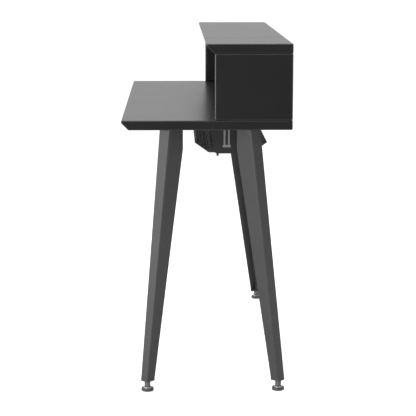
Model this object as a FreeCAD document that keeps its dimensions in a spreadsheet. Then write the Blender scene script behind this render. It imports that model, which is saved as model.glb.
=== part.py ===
import FreeCAD, Part
import math
import os

import Sketcher

# A writing desk: a low table on four folded steel legs, with a raised shelf
# unit (the hutch) along its rear half. The hutch has one long open bay and,
# at the right-hand end, a bay with two small drawers. A wire tray for cables
# hangs under the desktop, and each leg stands on a screw-adjusted foot.
#
# Frame: millimetres, +Z up, +X to the sitter's right, +Y to the rear. The
# origin lies on the floor, under the middle of the desktop.

doc = FreeCAD.newDocument("writing_desk")
sheet = doc.addObject("Spreadsheet::Sheet", "Sizes")

DRIVING_SIZES = (
    ("desk_width", 1200), ("desk_depth", 455), ("desk_height", 760),
    ("board_thickness", 26), ("desk_nose", 7), ("edge_ease", 3.0), ("panel_ease", 3.0),
    ("hutch_height", 202), ("hutch_front", -1), ("hutch_nose", 6),
    ("panel_thickness", 18), ("panel_setback", 22), ("seam_x", 335), ("seam_gap", 3.5),
    ("partition_setback", 12), ("back_thickness", 12), ("back_inset", 6),
    ("cable_gap_width", 180), ("cable_gap_height", 35),
    ("leg_sheet", 2.5), ("leg_ridge_inset", 51), ("leg_plate_thickness", 3),
    ("leg_plate_length", 64), ("leg_knee_drop", 60), ("fold_radius", 4.5),
    ("front_ridge_top", -99), ("front_ridge_foot", -164),
    ("rear_ridge_top", 119), ("rear_ridge_foot", 199),
    ("flange_outer_top", 27), ("flange_outer_foot", 18),
    ("flange_inner_top", 36), ("flange_inner_foot", 20),
    ("leg_foot_z", 26), ("foot_plate_thickness", 5), ("foot_plate_length", 26),
    ("foot_from_ridge", 13),
    ("pad_radius", 17), ("pad_height", 11), ("pad_ease", 1.2), ("spigot_depth", 6),
    ("stud_radius", 5), ("stud_top_z", 50), ("bore_radius", 5.05),
    ("hex_circumradius", 9.24), ("nut_height", 6),
    ("tray_half_length", 476), ("rib_count", 28), ("wire_radius", 2.5),
    ("tray_bottom_z", 660), ("tray_tip_z", 688), ("tray_bend_radius", 9),
    ("tray_front_tip", -31), ("tray_front_corner", 8),
    ("tray_rear_corner", 128), ("tray_rear_tip", 167),
    ("hanger_sheet", 2), ("hanger_web_x", 481), ("hanger_flange", 34),
    ("hanger_front", 20), ("hanger_rear", 115), ("hanger_chamfer", 8),
    ("strap_front", 48), ("strap_rear", 65), ("strap_strip", 5), ("strap_foot_z", 673),
    ("strap_thickness", 1.5), ("strap_foot_height", 6), ("strap_foot_overhang", 2.5),
    ("drawer_gap", 2), ("drawer_front_thickness", 16), ("drawer_setback", 14),
    ("drawer_box_raise", 9), ("drawer_box_height", 62), ("drawer_side_thickness", 10),
    ("drawer_box_length", 148), ("drawer_bottom_raise", 8), ("drawer_bottom_thickness", 4),
    ("groove_depth", 5), ("drawer_side_gap", 9.5),
    ("finger_width", 64), ("finger_depth", 16),
    ("rail_height", 18), ("rail_depth", 6.5), ("rail_sheet", 1.2), ("rail_length", 140),
    ("rail_clearance", 0.4), ("rail_start", 4),
    ("dowel_radius", 4), ("dowel_length", 30), ("dowel_hole_top", 13),
)

for row, (alias, value) in enumerate(DRIVING_SIZES, start=1):
    sheet.set(f"A{row}", alias)
    sheet.set(f"B{row}", str(value))
    sheet.setAlias(f"B{row}", alias)
doc.recompute()

nodes = []


def size(alias):
    """The number that the sheet holds under an alias."""
    return float(sheet.get(alias))


def cell(alias):
    """The expression that reads an alias."""
    return f"Sizes.{alias}"


# Places that several pieces share, as expressions on the sheet.
HALF_WIDTH = "(Sizes.desk_width / 2)"
REAR = "(Sizes.desk_depth / 2)"
TOP_Z = "(Sizes.desk_height)"
UNDER_Z = "(Sizes.desk_height - Sizes.board_thickness)"
HUTCH_TOP_Z = "(Sizes.desk_height + Sizes.hutch_height)"
HUTCH_UNDER_Z = f"({HUTCH_TOP_Z} - Sizes.board_thickness)"
PANEL_FRONT = "(Sizes.hutch_front + Sizes.panel_setback)"
BACK_FRONT = f"({REAR} - Sizes.back_inset - Sizes.back_thickness)"
PANEL_INNER = f"({HALF_WIDTH} - Sizes.panel_thickness)"
PARTITION_LEFT = "(Sizes.seam_x - Sizes.panel_thickness / 2)"
PARTITION_RIGHT = "(Sizes.seam_x + Sizes.panel_thickness / 2)"
RIDGE_X = f"({HALF_WIDTH} - Sizes.leg_ridge_inset)"
LEG_TOP_Z = f"({UNDER_Z} - Sizes.leg_plate_thickness)"
LEG_LOW_Z = "(Sizes.leg_foot_z + Sizes.foot_plate_thickness)"

# The same places as numbers, for the shapes that are made by hand.
half_width = size("desk_width") / 2
rear = size("desk_depth") / 2
top_z = size("desk_height")
under_z = top_z - size("board_thickness")
hutch_under_z = top_z + size("hutch_height") - size("board_thickness")
panel_front = size("hutch_front") + size("panel_setback")
back_front = rear - size("back_inset") - size("back_thickness")
panel_inner = half_width - size("panel_thickness")
partition_left = size("seam_x") - size("panel_thickness") / 2
partition_right = size("seam_x") + size("panel_thickness") / 2
ridge_x = half_width - size("leg_ridge_inset")
leg_top_z = under_z - size("leg_plate_thickness")

UP = FreeCAD.Vector(0, 0, 1)
DOWN = FreeCAD.Vector(0, 0, -1)
RIGHT = FreeCAD.Vector(1, 0, 0)
LEFT = FreeCAD.Vector(-1, 0, 0)
BACKWARD = FreeCAD.Vector(0, 1, 0)
TOUCH = 0.01


# ---------------------------------------------------------------- helpers

def keep(piece):
    """List a finished piece as a node of the desk."""
    nodes.append(piece)
    return piece


def box(name, x, y, z):
    """A box between two expressions along each axis."""
    piece = doc.addObject("Part::Box", name)
    for side, axis, (low, high) in (("Length", "x", x), ("Width", "y", y), ("Height", "z", z)):
        piece.setExpression(side, f"({high}) - ({low})")
        piece.setExpression(f"Placement.Base.{axis}", low)
    return piece


def cylinder(name, radius, x, y, z):
    """An upright cylinder: radius and centre as expressions, z as (low, high)."""
    piece = doc.addObject("Part::Cylinder", name)
    piece.setExpression("Radius", radius)
    piece.setExpression("Height", f"({z[1]}) - ({z[0]})")
    for axis, place in (("x", x), ("y", y), ("z", z[0])):
        piece.setExpression(f"Placement.Base.{axis}", place)
    return piece


def hexagon(name, x, y, z):
    """An upright hexagonal prism, flats facing the desk's front."""
    piece = doc.addObject("Part::Prism", name)
    piece.Polygon = 6
    piece.setExpression("Circumradius", cell("hex_circumradius"))
    piece.setExpression("Height", f"({z[1]}) - ({z[0]})")
    for axis, place in (("x", x), ("y", y), ("z", z[0])):
        piece.setExpression(f"Placement.Base.{axis}", place)
    return piece


def shape(name, solid):
    """A piece whose shape is made by hand from the sheet's sizes."""
    piece = doc.addObject("Part::Feature", name)
    piece.Shape = solid
    return piece


def cut(name, base, tool):
    """A piece with material taken away."""
    piece = doc.addObject("Part::Cut", name)
    piece.Base = base
    piece.Tool = tool
    return piece


def join(name, parts):
    """One solid from parts that touch."""
    piece = doc.addObject("Part::MultiFuse", name)
    piece.Shapes = parts
    return piece


def group(name, parts):
    """Separate solids that share one node."""
    piece = doc.addObject("Part::Compound", name)
    piece.Links = parts
    return piece


def mirror(name, source):
    """The left-hand twin of a right-hand piece."""
    piece = doc.addObject("Part::Mirroring", name)
    piece.Source = source
    piece.Base = FreeCAD.Vector(0, 0, 0)
    piece.Normal = RIGHT
    return piece


def eased(name, base, radius, wanted=None):
    """Round over a board's edges; wanted chooses them by their middle point."""
    doc.recompute()
    chosen = []
    for number, edge in enumerate(base.Shape.Edges, start=1):
        middle = edge.valueAt((edge.FirstParameter + edge.LastParameter) / 2)
        if wanted is None or wanted(middle, edge):
            chosen.append((number, radius, radius))
    piece = doc.addObject("Part::Fillet", name)
    piece.Base = base
    piece.Edges = chosen
    return piece


def polygon_sketch(body, name, plane_role, offset, corners):
    """A closed outline on one of the body's own planes, corners as expressions.

    The outline starts as a regular polygon, and the bound distances from the
    origin then put each corner in its place.
    """
    sketch = body.newObject("Sketcher::SketchObject", name)
    plane = next(item for item in body.Origin.OriginFeatures if item.Role == plane_role)
    sketch.AttachmentSupport = [(plane, "")]
    sketch.MapMode = "FlatFace"
    sketch.setExpression("AttachmentOffset.Base.z", offset)
    count = len(corners)
    turn = 2 * math.pi / count
    start = [FreeCAD.Vector(50 * math.cos(turn * i), 50 * math.sin(turn * i), 0) for i in range(count)]
    for i in range(count):
        sketch.addGeometry(Part.LineSegment(start[i], start[(i + 1) % count]), False)
    for i in range(count):
        sketch.addConstraint(Sketcher.Constraint("Coincident", i, 2, (i + 1) % count, 1))
    for i, (along, across) in enumerate(corners):
        number = sketch.addConstraint(Sketcher.Constraint("DistanceX", -1, 1, i, 1, start[i].x))
        sketch.setExpression(f"Constraints[{number}]", along)
        number = sketch.addConstraint(Sketcher.Constraint("DistanceY", -1, 1, i, 1, start[i].y))
        sketch.setExpression(f"Constraints[{number}]", across)
    return sketch


def padded(name, plane_role, offset, corners, length):
    """A body padded from one outline, along the plane's normal."""
    body = doc.addObject("PartDesign::Body", name)
    sketch = polygon_sketch(body, f"{name}_outline", plane_role, offset, corners)
    pad = body.newObject("PartDesign::Pad", f"{name}_pad")
    pad.Profile = sketch
    pad.setExpression("Length", length)
    body.Tip = pad
    return body


def drillings(name, holes):
    """Round holes as one tool: each hole is (start, direction, radius, depth)."""
    tools = [Part.makeCylinder(radius, depth, start, direction)
             for start, direction, radius, depth in holes]
    return shape(name, Part.makeCompound(tools))


HEAD_FACE_SHARE = 0.72
HEAD_RIM_SHARE = 0.4


def screw(seat, direction, radius, length, head_radius, head_height):
    """A screw as one solid: its head stands on the seat, its shank points along direction."""
    profile = [
        FreeCAD.Vector(0, 0, length),
        FreeCAD.Vector(0, 0, -head_height),
        FreeCAD.Vector(head_radius * HEAD_FACE_SHARE, 0, -head_height),
        FreeCAD.Vector(head_radius, 0, -head_height * HEAD_RIM_SHARE),
        FreeCAD.Vector(head_radius, 0, 0),
        FreeCAD.Vector(radius, 0, 0),
        FreeCAD.Vector(radius, 0, length - radius),
        FreeCAD.Vector(0, 0, length),
    ]
    solid = Part.Face(Part.makePolygon(profile)).revolve(FreeCAD.Vector(0, 0, 0), UP, 360)
    solid.Placement = FreeCAD.Placement(seat, FreeCAD.Rotation(UP, direction))
    return solid


# ----------------------------------------------------------- board shapes

def edge_profile(front, low, high, nose):
    """Side outline of a board: a short upright nose, then a 45 degree undercut."""
    undercut = f"({high} - {low} - {nose})"
    return [
        (front, high),
        (REAR, high),
        (REAR, low),
        (f"{front} + {undercut}", low),
        (front, f"{high} - {nose}"),
    ]


def shelf_board(name, x, front, z, nose):
    """A board with the undercut front edge, between two x places."""
    low, high = z
    outline = edge_profile(front, low, high, nose)
    return padded(name, "YZ_Plane", x[0], outline, f"({x[1]}) - ({x[0]})")


PANEL_DEPTH_PLACES = (0.22, 0.78)


def panel_places(front, back):
    """The two places along a panel's depth where its fasteners stand."""
    return [front + share * (back - front) for share in PANEL_DEPTH_PLACES]


CONFIRMAT_RADIUS = 3.0
CONFIRMAT_HEAD = 5.0
CONFIRMAT_HEAD_HEIGHT = 3.0
CONFIRMAT_LENGTH = 50.0
COUNTERBORE = 3.5

side_middle_x = half_width - size("panel_thickness") / 2
partition_front = panel_front + size("partition_setback")
hutch_screw_places = (
    [(sign * side_middle_x, y) for sign in (-1, 1) for y in panel_places(panel_front, rear)]
    + [(size("seam_x"), y) for y in panel_places(partition_front, back_front)]
)
dowel_places = [(sign * side_middle_x, y) for sign in (-1, 1) for y in panel_places(panel_front, rear)]

LEG_SCREW_RADIUS = 2.5
LEG_SCREW_HEAD = 5.0
LEG_SCREW_HEAD_HEIGHT = 2.6
LEG_SCREW_LENGTH = 20.0
LEG_SCREW_EDGE = 9.0
LEG_SCREW_IN_FOLD = 25.0


def leg_screw_places():
    """Each leg plate's three screws: one inside the fold, two near the inboard edge."""
    places = []
    for sign in (-1, 1):
        for ridge, toward_front in ((size("front_ridge_top"), 1), (size("rear_ridge_top"), -1)):
            far = size("leg_plate_length") - LEG_SCREW_EDGE
            spots = (
                (LEG_SCREW_IN_FOLD, 0.0),
                (far, -(size("flange_outer_top") - LEG_SCREW_EDGE)),
                (far, size("flange_inner_top") - LEG_SCREW_EDGE),
            )
            places += [(sign * (ridge_x - reach), ridge + toward_front * across) for reach, across in spots]
    return places


TRAY_SCREW_RADIUS = 2.2
TRAY_SCREW_HEAD = 4.4
TRAY_SCREW_HEAD_HEIGHT = 2.2
TRAY_SCREW_LENGTH = 16.0
TRAY_SCREW_EDGE = 14.0
tray_screw_x = size("hanger_web_x") - size("hanger_flange") / 2
tray_screw_places = [
    (sign * tray_screw_x, y)
    for sign in (-1, 1)
    for y in (size("hanger_front") + TRAY_SCREW_EDGE, size("hanger_rear") - TRAY_SCREW_EDGE)
]


def make_desktop():
    """The desktop, drilled from below for the hutch, the legs and the tray."""
    blank = shelf_board("desktop_blank", (f"-{HALF_WIDTH}", HALF_WIDTH), f"-{REAR}",
                        (UNDER_Z, TOP_Z), cell("desk_nose"))
    rounded = eased("desktop_rounded", blank, size("edge_ease"))
    holes = []
    for x, y in hutch_screw_places:
        start = FreeCAD.Vector(x, y, under_z)
        holes.append((start, UP, CONFIRMAT_RADIUS, size("board_thickness")))
        holes.append((start, UP, CONFIRMAT_HEAD + 0.5, COUNTERBORE))
    for x, y in leg_screw_places():
        depth = LEG_SCREW_LENGTH - size("leg_plate_thickness")
        holes.append((FreeCAD.Vector(x, y, under_z), UP, LEG_SCREW_RADIUS, depth))
    for x, y in tray_screw_places:
        depth = TRAY_SCREW_LENGTH - size("hanger_sheet")
        holes.append((FreeCAD.Vector(x, y, under_z), UP, TRAY_SCREW_RADIUS, depth))
    keep(cut("desktop", rounded, drillings("desktop_drillings", holes)))


def off_seam(middle, edge):
    """True for the board edges that are rounded; those along the seam stay sharp."""
    from_seam = abs(middle.x - size("seam_x")) - size("seam_gap") / 2
    return abs(from_seam) > TOUCH


def make_hutch_tops():
    """Two boards that meet over the partition, with a narrow gap between them."""
    left_end = "(Sizes.seam_x - Sizes.seam_gap / 2)"
    right_start = "(Sizes.seam_x + Sizes.seam_gap / 2)"
    spans = (("hutch_top_main", (f"-{HALF_WIDTH}", left_end), -1),
             ("hutch_top_end", (right_start, HALF_WIDTH), 1))
    for name, span, sign in spans:
        blank = shelf_board(f"{name}_blank", span, cell("hutch_front"),
                            (HUTCH_UNDER_Z, HUTCH_TOP_Z), cell("hutch_nose"))
        rounded = eased(f"{name}_rounded", blank, size("edge_ease"), off_seam)
        holes = [
            (FreeCAD.Vector(x, y, hutch_under_z), UP, size("dowel_radius"), size("dowel_hole_top"))
            for x, y in dowel_places if x * sign > 0
        ]
        holes += bracket_holes_in_top(sign)
        keep(cut(name, rounded, drillings(f"{name}_drillings", holes)))


# ------------------------------------------------- small partition angles

ANGLE_LEG = 15.0
ANGLE_SHEET = 2.0
ANGLE_WIDTH = 18.0
ANGLE_SCREW_RADIUS = 1.6
ANGLE_SCREW_HEAD = 3.2
ANGLE_SCREW_HEAD_HEIGHT = 1.6
ANGLE_SCREW_LENGTH = 10.0
ANGLE_SIDE_SCREW_LENGTH = 8.0
ANGLE_SCREW_REACH = 8.5
ANGLE_FRONT_INSET = 20.0
ANGLE_REAR_INSET = 10.0
angle_places = panel_places(partition_front + ANGLE_FRONT_INSET, back_front - ANGLE_REAR_INSET)


def angle_faces():
    """Each partition face with the way that its angles stand out of it."""
    return ((partition_left, LEFT), (partition_right, RIGHT))


def bracket_holes_in_top(sign):
    """Pilot holes for the angle screws in the board on one side of the seam."""
    holes = []
    for face_x, out in angle_faces():
        if out.x * sign > 0:
            for y in angle_places:
                start = FreeCAD.Vector(face_x + out.x * ANGLE_SCREW_REACH, y, hutch_under_z)
                holes.append((start, UP, ANGLE_SCREW_RADIUS, ANGLE_SCREW_LENGTH - ANGLE_SHEET))
    return holes


def make_partition_angles():
    """Steel angles that hold both top boards down on the partition."""
    angles = []
    screws = []
    for face_x, out in angle_faces():
        for y in angle_places:
            front = y - ANGLE_WIDTH / 2
            outer_x = face_x + out.x * ANGLE_LEG
            plate_x = face_x + out.x * ANGLE_SHEET
            outline = [
                FreeCAD.Vector(face_x, front, hutch_under_z),
                FreeCAD.Vector(outer_x, front, hutch_under_z),
                FreeCAD.Vector(outer_x, front, hutch_under_z - ANGLE_SHEET),
                FreeCAD.Vector(plate_x, front, hutch_under_z - ANGLE_SHEET),
                FreeCAD.Vector(plate_x, front, hutch_under_z - ANGLE_LEG),
                FreeCAD.Vector(face_x, front, hutch_under_z - ANGLE_LEG),
                FreeCAD.Vector(face_x, front, hutch_under_z),
            ]
            angle = Part.Face(Part.makePolygon(outline)).extrude(BACKWARD * ANGLE_WIDTH)
            seat_up = FreeCAD.Vector(face_x + out.x * ANGLE_SCREW_REACH, y, hutch_under_z - ANGLE_SHEET)
            seat_side = FreeCAD.Vector(plate_x, y, hutch_under_z - ANGLE_SCREW_REACH)
            for seat, direction in ((seat_up, UP), (seat_side, out * -1)):
                hole = Part.makeCylinder(ANGLE_SCREW_RADIUS, ANGLE_SHEET, seat, direction)
                angle = angle.cut(hole)
                length = ANGLE_SCREW_LENGTH if direction == UP else ANGLE_SIDE_SCREW_LENGTH
                screws.append(screw(seat, direction, ANGLE_SCREW_RADIUS, length,
                                    ANGLE_SCREW_HEAD, ANGLE_SCREW_HEAD_HEIGHT))
            angles.append(angle)
    keep(shape("partition_angles", Part.makeCompound(angles)))
    keep(shape("partition_angle_screws", Part.makeCompound(screws)))


def partition_angle_holes():
    """Pilot holes for the angle screws in the partition's two faces."""
    holes = []
    for face_x, out in angle_faces():
        for y in angle_places:
            start = FreeCAD.Vector(face_x, y, hutch_under_z - ANGLE_SCREW_REACH)
            holes.append((start, out * -1, ANGLE_SCREW_RADIUS, ANGLE_SIDE_SCREW_LENGTH - ANGLE_SHEET))
    return holes


# ------------------------------------------------------------ drawer rails

RAIL_SCREW_RADIUS = 1.6
RAIL_SCREW_HEAD = 3.2
RAIL_SCREW_HEAD_HEIGHT = 1.4
RAIL_SCREW_LENGTH = 9.5
RAIL_SCREW_SHARES = (0.18, 0.82)
RAIL_NEST = 1.0

inner_height = hutch_under_z - top_z
front_height = (inner_height - 3 * size("drawer_gap")) / 2
front_face_y = panel_front + size("drawer_setback")
box_start_y = front_face_y + size("drawer_front_thickness")
rail_y = box_start_y + size("rail_start")
box_left = partition_right + size("drawer_side_gap")
box_right = panel_inner - size("drawer_side_gap")
drawer_bases = {
    "lower": top_z + size("drawer_gap"),
    "upper": top_z + 2 * size("drawer_gap") + front_height,
}


def rail_centre(base_z):
    """Height of a drawer's rails, half-way up its box."""
    return base_z + size("drawer_box_raise") + size("drawer_box_height") / 2


def rail_screw_ys():
    """Places of a rail's two screws along its length."""
    return [rail_y + share * size("rail_length") for share in RAIL_SCREW_SHARES]


def channel(web_x, out, centre_z, height, depth):
    """A rail of C section: its web stands at web_x and its flanges point along out."""
    sheet_thickness = size("rail_sheet")
    half = height / 2
    across = (0, depth, depth, sheet_thickness, sheet_thickness, depth, depth, 0, 0)
    heights = (-half, -half, -half + sheet_thickness, -half + sheet_thickness,
               half - sheet_thickness, half - sheet_thickness, half, half, -half)
    outline = [FreeCAD.Vector(web_x + out.x * a, rail_y, centre_z + b) for a, b in zip(across, heights)]
    return Part.Face(Part.makePolygon(outline)).extrude(BACKWARD * size("rail_length"))


def drilled_rail(rail, web_x, out, centre_z):
    """The rail with its two screw holes through the web."""
    for y in rail_screw_ys():
        start = FreeCAD.Vector(web_x, y, centre_z)
        rail = rail.cut(Part.makeCylinder(RAIL_SCREW_RADIUS, size("rail_sheet"), start, out))
    return rail


def rail_screws(web_x, out, centre_z):
    """The two screws that hold a rail, their heads inside the channel."""
    seat_x = web_x + out.x * size("rail_sheet")
    return [
        screw(FreeCAD.Vector(seat_x, y, centre_z), out * -1, RAIL_SCREW_RADIUS, RAIL_SCREW_LENGTH,
              RAIL_SCREW_HEAD, RAIL_SCREW_HEAD_HEIGHT)
        for y in rail_screw_ys()
    ]


def cabinet_rail_holes(face_x, into):
    """Pilot holes for both drawers' rails in one wall of the drawer bay."""
    holes = []
    for base_z in drawer_bases.values():
        for y in rail_screw_ys():
            start = FreeCAD.Vector(face_x, y, rail_centre(base_z))
            holes.append((start, into, RAIL_SCREW_RADIUS, RAIL_SCREW_LENGTH - size("rail_sheet")))
    return holes


def make_cabinet_rails():
    """The fixed half of the drawer slides, on the partition and the end panel."""
    rails = []
    screws = []
    for base_z in drawer_bases.values():
        centre_z = rail_centre(base_z)
        for web_x, out in ((partition_right, RIGHT), (panel_inner, LEFT)):
            rail = channel(web_x, out, centre_z, size("rail_height"), size("rail_depth"))
            rails.append(drilled_rail(rail, web_x, out, centre_z))
            screws += rail_screws(web_x, out, centre_z)
    keep(shape("cabinet_rails", Part.makeCompound(rails)))
    keep(shape("cabinet_rail_screws", Part.makeCompound(screws)))


# ----------------------------------------------------------- hutch panels

def panel_end_holes(x, ys, with_dowels):
    """Holes in a panel's lower edge for the screws, and in its upper edge for dowels."""
    reach = CONFIRMAT_LENGTH - (size("board_thickness") - COUNTERBORE)
    holes = [(FreeCAD.Vector(x, y, top_z), UP, CONFIRMAT_RADIUS, reach) for y in ys]
    if with_dowels:
        depth = size("dowel_length") - size("dowel_hole_top")
        holes += [(FreeCAD.Vector(x, y, hutch_under_z), DOWN, size("dowel_radius"), depth) for y in ys]
    return holes


def make_hutch_panels():
    """The two end panels, the partition under the seam and the back."""
    sides = (("hutch_side_left", (f"-{HALF_WIDTH}", f"-{PANEL_INNER}"), -side_middle_x, []),
             ("hutch_side_right", (PANEL_INNER, HALF_WIDTH), side_middle_x,
              cabinet_rail_holes(panel_inner, RIGHT)))
    for name, span, middle_x, rail_holes in sides:
        blank = box(f"{name}_blank", span, (PANEL_FRONT, REAR), (TOP_Z, HUTCH_UNDER_Z))
        rounded = eased(f"{name}_rounded", blank, size("panel_ease"))
        holes = panel_end_holes(middle_x, panel_places(panel_front, rear), True) + rail_holes
        keep(cut(name, rounded, drillings(f"{name}_drillings", holes)))

    blank = box("hutch_partition_blank", (PARTITION_LEFT, PARTITION_RIGHT),
                (f"{PANEL_FRONT} + Sizes.partition_setback", BACK_FRONT), (TOP_Z, HUTCH_UNDER_Z))
    holes = panel_end_holes(size("seam_x"), panel_places(partition_front, back_front), False)
    holes += cabinet_rail_holes(partition_right, LEFT) + partition_angle_holes()
    keep(cut("hutch_partition", blank, drillings("hutch_partition_drillings", holes)))

    back = box("hutch_back_blank", (f"-{PANEL_INNER}", PANEL_INNER),
               (BACK_FRONT, f"{BACK_FRONT} + Sizes.back_thickness"), (TOP_Z, HUTCH_UNDER_Z))
    gap = box("cable_gap", ("-Sizes.cable_gap_width / 2", "Sizes.cable_gap_width / 2"),
              (BACK_FRONT, f"{BACK_FRONT} + Sizes.back_thickness"),
              (TOP_Z, f"{TOP_Z} + Sizes.cable_gap_height"))
    keep(cut("hutch_back", back, gap))


def make_hutch_fasteners():
    """Long screws up through the desktop, and dowels under the top boards."""
    seat_z = under_z + COUNTERBORE
    screws = [screw(FreeCAD.Vector(x, y, seat_z), UP, CONFIRMAT_RADIUS, CONFIRMAT_LENGTH,
                    CONFIRMAT_HEAD, CONFIRMAT_HEAD_HEIGHT) for x, y in hutch_screw_places]
    keep(shape("hutch_screws", Part.makeCompound(screws)))
    low_z = hutch_under_z + size("dowel_hole_top") - size("dowel_length")
    dowels = [Part.makeCylinder(size("dowel_radius"), size("dowel_length"), FreeCAD.Vector(x, y, low_z), UP)
              for x, y in dowel_places]
    keep(shape("hutch_dowels", Part.makeCompound(dowels)))


# ------------------------------------------------------------------- legs

TRIM_REACH = 50
TRIM_WIDTH = 100
LEG_PLATE_REACH = 60


def leg_section(height, ridge_y, outer, inner, way):
    """Level section of the folded leg: two flanges at 45 degrees, joined by a round fold.

    outer and inner are how far the flanges reach along Y; way is 1 on a front
    leg, whose outer flange faces forward, and -1 on a rear leg.
    """
    ridge = FreeCAD.Vector(ridge_x, ridge_y, height)
    outward = FreeCAD.Vector(-1, -way, 0).normalize()
    inward = FreeCAD.Vector(-1, way, 0).normalize()
    thickness = size("leg_sheet")
    radius = size("fold_radius")
    centre = ridge + (outward + inward) * radius
    outer_edge = ridge + outward * (outer * math.sqrt(2))
    inner_edge = ridge + inward * (inner * math.sqrt(2))
    skin = (outer_edge, centre - inward * radius, centre + RIGHT * radius,
            centre - outward * radius, inner_edge)
    bend = radius - thickness
    lining = (inner_edge + outward * thickness, centre - outward * bend, centre + RIGHT * bend,
              centre - inward * bend, outer_edge + inward * thickness)
    edges = []
    for start, arc_start, arc_middle, arc_end, end in (skin, lining):
        edges.append(Part.LineSegment(start, arc_start).toShape())
        edges.append(Part.Arc(arc_start, arc_middle, arc_end).toShape())
        edges.append(Part.LineSegment(arc_end, end).toShape())
    edges.insert(3, Part.LineSegment(skin[-1], lining[0]).toShape())
    edges.append(Part.LineSegment(lining[-1], skin[0]).toShape())
    return Part.Wire(edges)


def make_leg(corner, toward_front):
    """A tapered leg folded along its ridge, its inner edge trimmed upright under the top."""
    name = f"leg_{corner}_right"
    way = 1 if toward_front else -1
    ridge_top = size(f"{corner}_ridge_top")
    ridge_foot = size(f"{corner}_ridge_foot")
    low_z = size("leg_foot_z") + size("foot_plate_thickness")
    growth = abs(ridge_foot - ridge_top) + size("flange_inner_top") - size("flange_inner_foot")
    straight = leg_top_z - low_z - size("leg_knee_drop")
    inner_at_top = size("flange_inner_top") + growth * size("leg_knee_drop") / straight
    low = leg_section(low_z, ridge_foot, size("flange_outer_foot"), size("flange_inner_foot"), way)
    high = leg_section(leg_top_z, ridge_top, size("flange_outer_top"), inner_at_top, way)
    sheet_metal = shape(f"{name}_blank", Part.makeLoft([low, high], True, True))

    ridge = f"Sizes.{corner}_ridge_top"
    trim_plane = f"{ridge} {'+' if toward_front else '-'} Sizes.flange_inner_top"
    beyond = (trim_plane, f"{trim_plane} + {TRIM_REACH}")
    if not toward_front:
        beyond = (f"{trim_plane} - {TRIM_REACH}", trim_plane)
    trim = box(f"{name}_trim", (f"{RIDGE_X} - {TRIM_WIDTH}", RIDGE_X), beyond,
               (f"{LEG_TOP_Z} - 2 * Sizes.leg_knee_drop", LEG_TOP_Z))
    return keep(cut(name, sheet_metal, trim))


def make_leg_plates(corner, toward_front):
    """The plate that is screwed to the desktop and the one that takes the foot."""
    front_side = "-" if toward_front else "+"
    rear_side = "+" if toward_front else "-"

    def outline(ridge_y, outer, inner, length):
        near = f"{ridge_y} {front_side} {outer}"
        far = f"{ridge_y} {rear_side} {inner}"
        return [(RIDGE_X, ridge_y), (f"{RIDGE_X} - {outer}", near), (f"{RIDGE_X} - {length}", near),
                (f"{RIDGE_X} - {length}", far), (f"{RIDGE_X} - {inner}", far)]

    top = f"Sizes.{corner}_ridge_top"
    foot = f"Sizes.{corner}_ridge_foot"
    blank = padded(f"leg_plate_{corner}_blank", "XY_Plane", LEG_TOP_Z,
                   outline(top, "Sizes.flange_outer_top", "Sizes.flange_inner_top",
                           "Sizes.leg_plate_length"),
                   cell("leg_plate_thickness"))
    ridge = size(f"{corner}_ridge_top")
    holes = [(FreeCAD.Vector(x, y, leg_top_z), UP, LEG_SCREW_RADIUS, size("leg_plate_thickness"))
             for x, y in leg_screw_places() if x > 0 and abs(y - ridge) < LEG_PLATE_REACH]
    plate = keep(cut(f"leg_plate_{corner}_right", blank, drillings(f"leg_plate_{corner}_drillings", holes)))

    sole = padded(f"foot_plate_{corner}_blank", "XY_Plane", cell("leg_foot_z"),
                  outline(foot, "Sizes.flange_outer_foot", "Sizes.flange_inner_foot",
                          "Sizes.foot_plate_length"),
                  cell("foot_plate_thickness"))
    bore = cylinder(f"foot_bore_{corner}", cell("bore_radius"),
                    f"{RIDGE_X} - Sizes.foot_from_ridge", foot, (cell("leg_foot_z"), LEG_LOW_Z))
    foot_plate = keep(cut(f"foot_plate_{corner}_right", sole, bore))
    return plate, foot_plate


def make_leg_screws():
    """The screws that hold the four leg plates up to the desktop."""
    screws = [screw(FreeCAD.Vector(x, y, leg_top_z), UP, LEG_SCREW_RADIUS, LEG_SCREW_LENGTH,
                    LEG_SCREW_HEAD, LEG_SCREW_HEAD_HEIGHT) for x, y in leg_screw_places()]
    keep(shape("leg_screws", Part.makeCompound(screws)))


# ------------------------------------------------------------------- feet

def make_foot(corner, side):
    """A levelling foot: pad, threaded stud with a hexagonal collar, and lock nut."""
    name = f"{corner}_{side}"
    sign = "-" if side == "left" else ""
    x = f"{sign}({RIDGE_X} - Sizes.foot_from_ridge)"
    y = f"Sizes.{corner}_ridge_foot"
    nut_low = "(Sizes.leg_foot_z - Sizes.nut_height)"
    spigot_low = "(Sizes.pad_height - Sizes.spigot_depth)"

    disc = cylinder(f"foot_pad_{name}_disc", cell("pad_radius"), x, y, ("0", cell("pad_height")))
    rounded = eased(f"foot_pad_{name}_rounded", disc, size("pad_ease"),
                    lambda middle, edge: len(edge.Vertexes) == 1)
    socket = cylinder(f"foot_pad_{name}_socket", cell("bore_radius"), x, y,
                      (spigot_low, cell("pad_height")))
    keep(cut(f"foot_pad_{name}", rounded, socket))

    collar = hexagon(f"foot_stud_{name}_collar", x, y, (cell("pad_height"), nut_low))
    rod = cylinder(f"foot_stud_{name}_rod", cell("stud_radius"), x, y, (spigot_low, cell("stud_top_z")))
    keep(join(f"foot_stud_{name}", [collar, rod]))

    blank = hexagon(f"lock_nut_{name}_blank", x, y, (nut_low, cell("leg_foot_z")))
    bore = cylinder(f"lock_nut_{name}_bore", cell("bore_radius"), x, y, (nut_low, cell("leg_foot_z")))
    return cut(f"lock_nut_{name}", blank, bore)


# ------------------------------------------------------------- cable tray

SLOPE_WIRE_SHARES = (0.06, 0.34, 0.62, 0.90)
BOTTOM_WIRE_SHARES = (0.10, 0.26, 0.42, 0.58, 0.74, 0.90)


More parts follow.
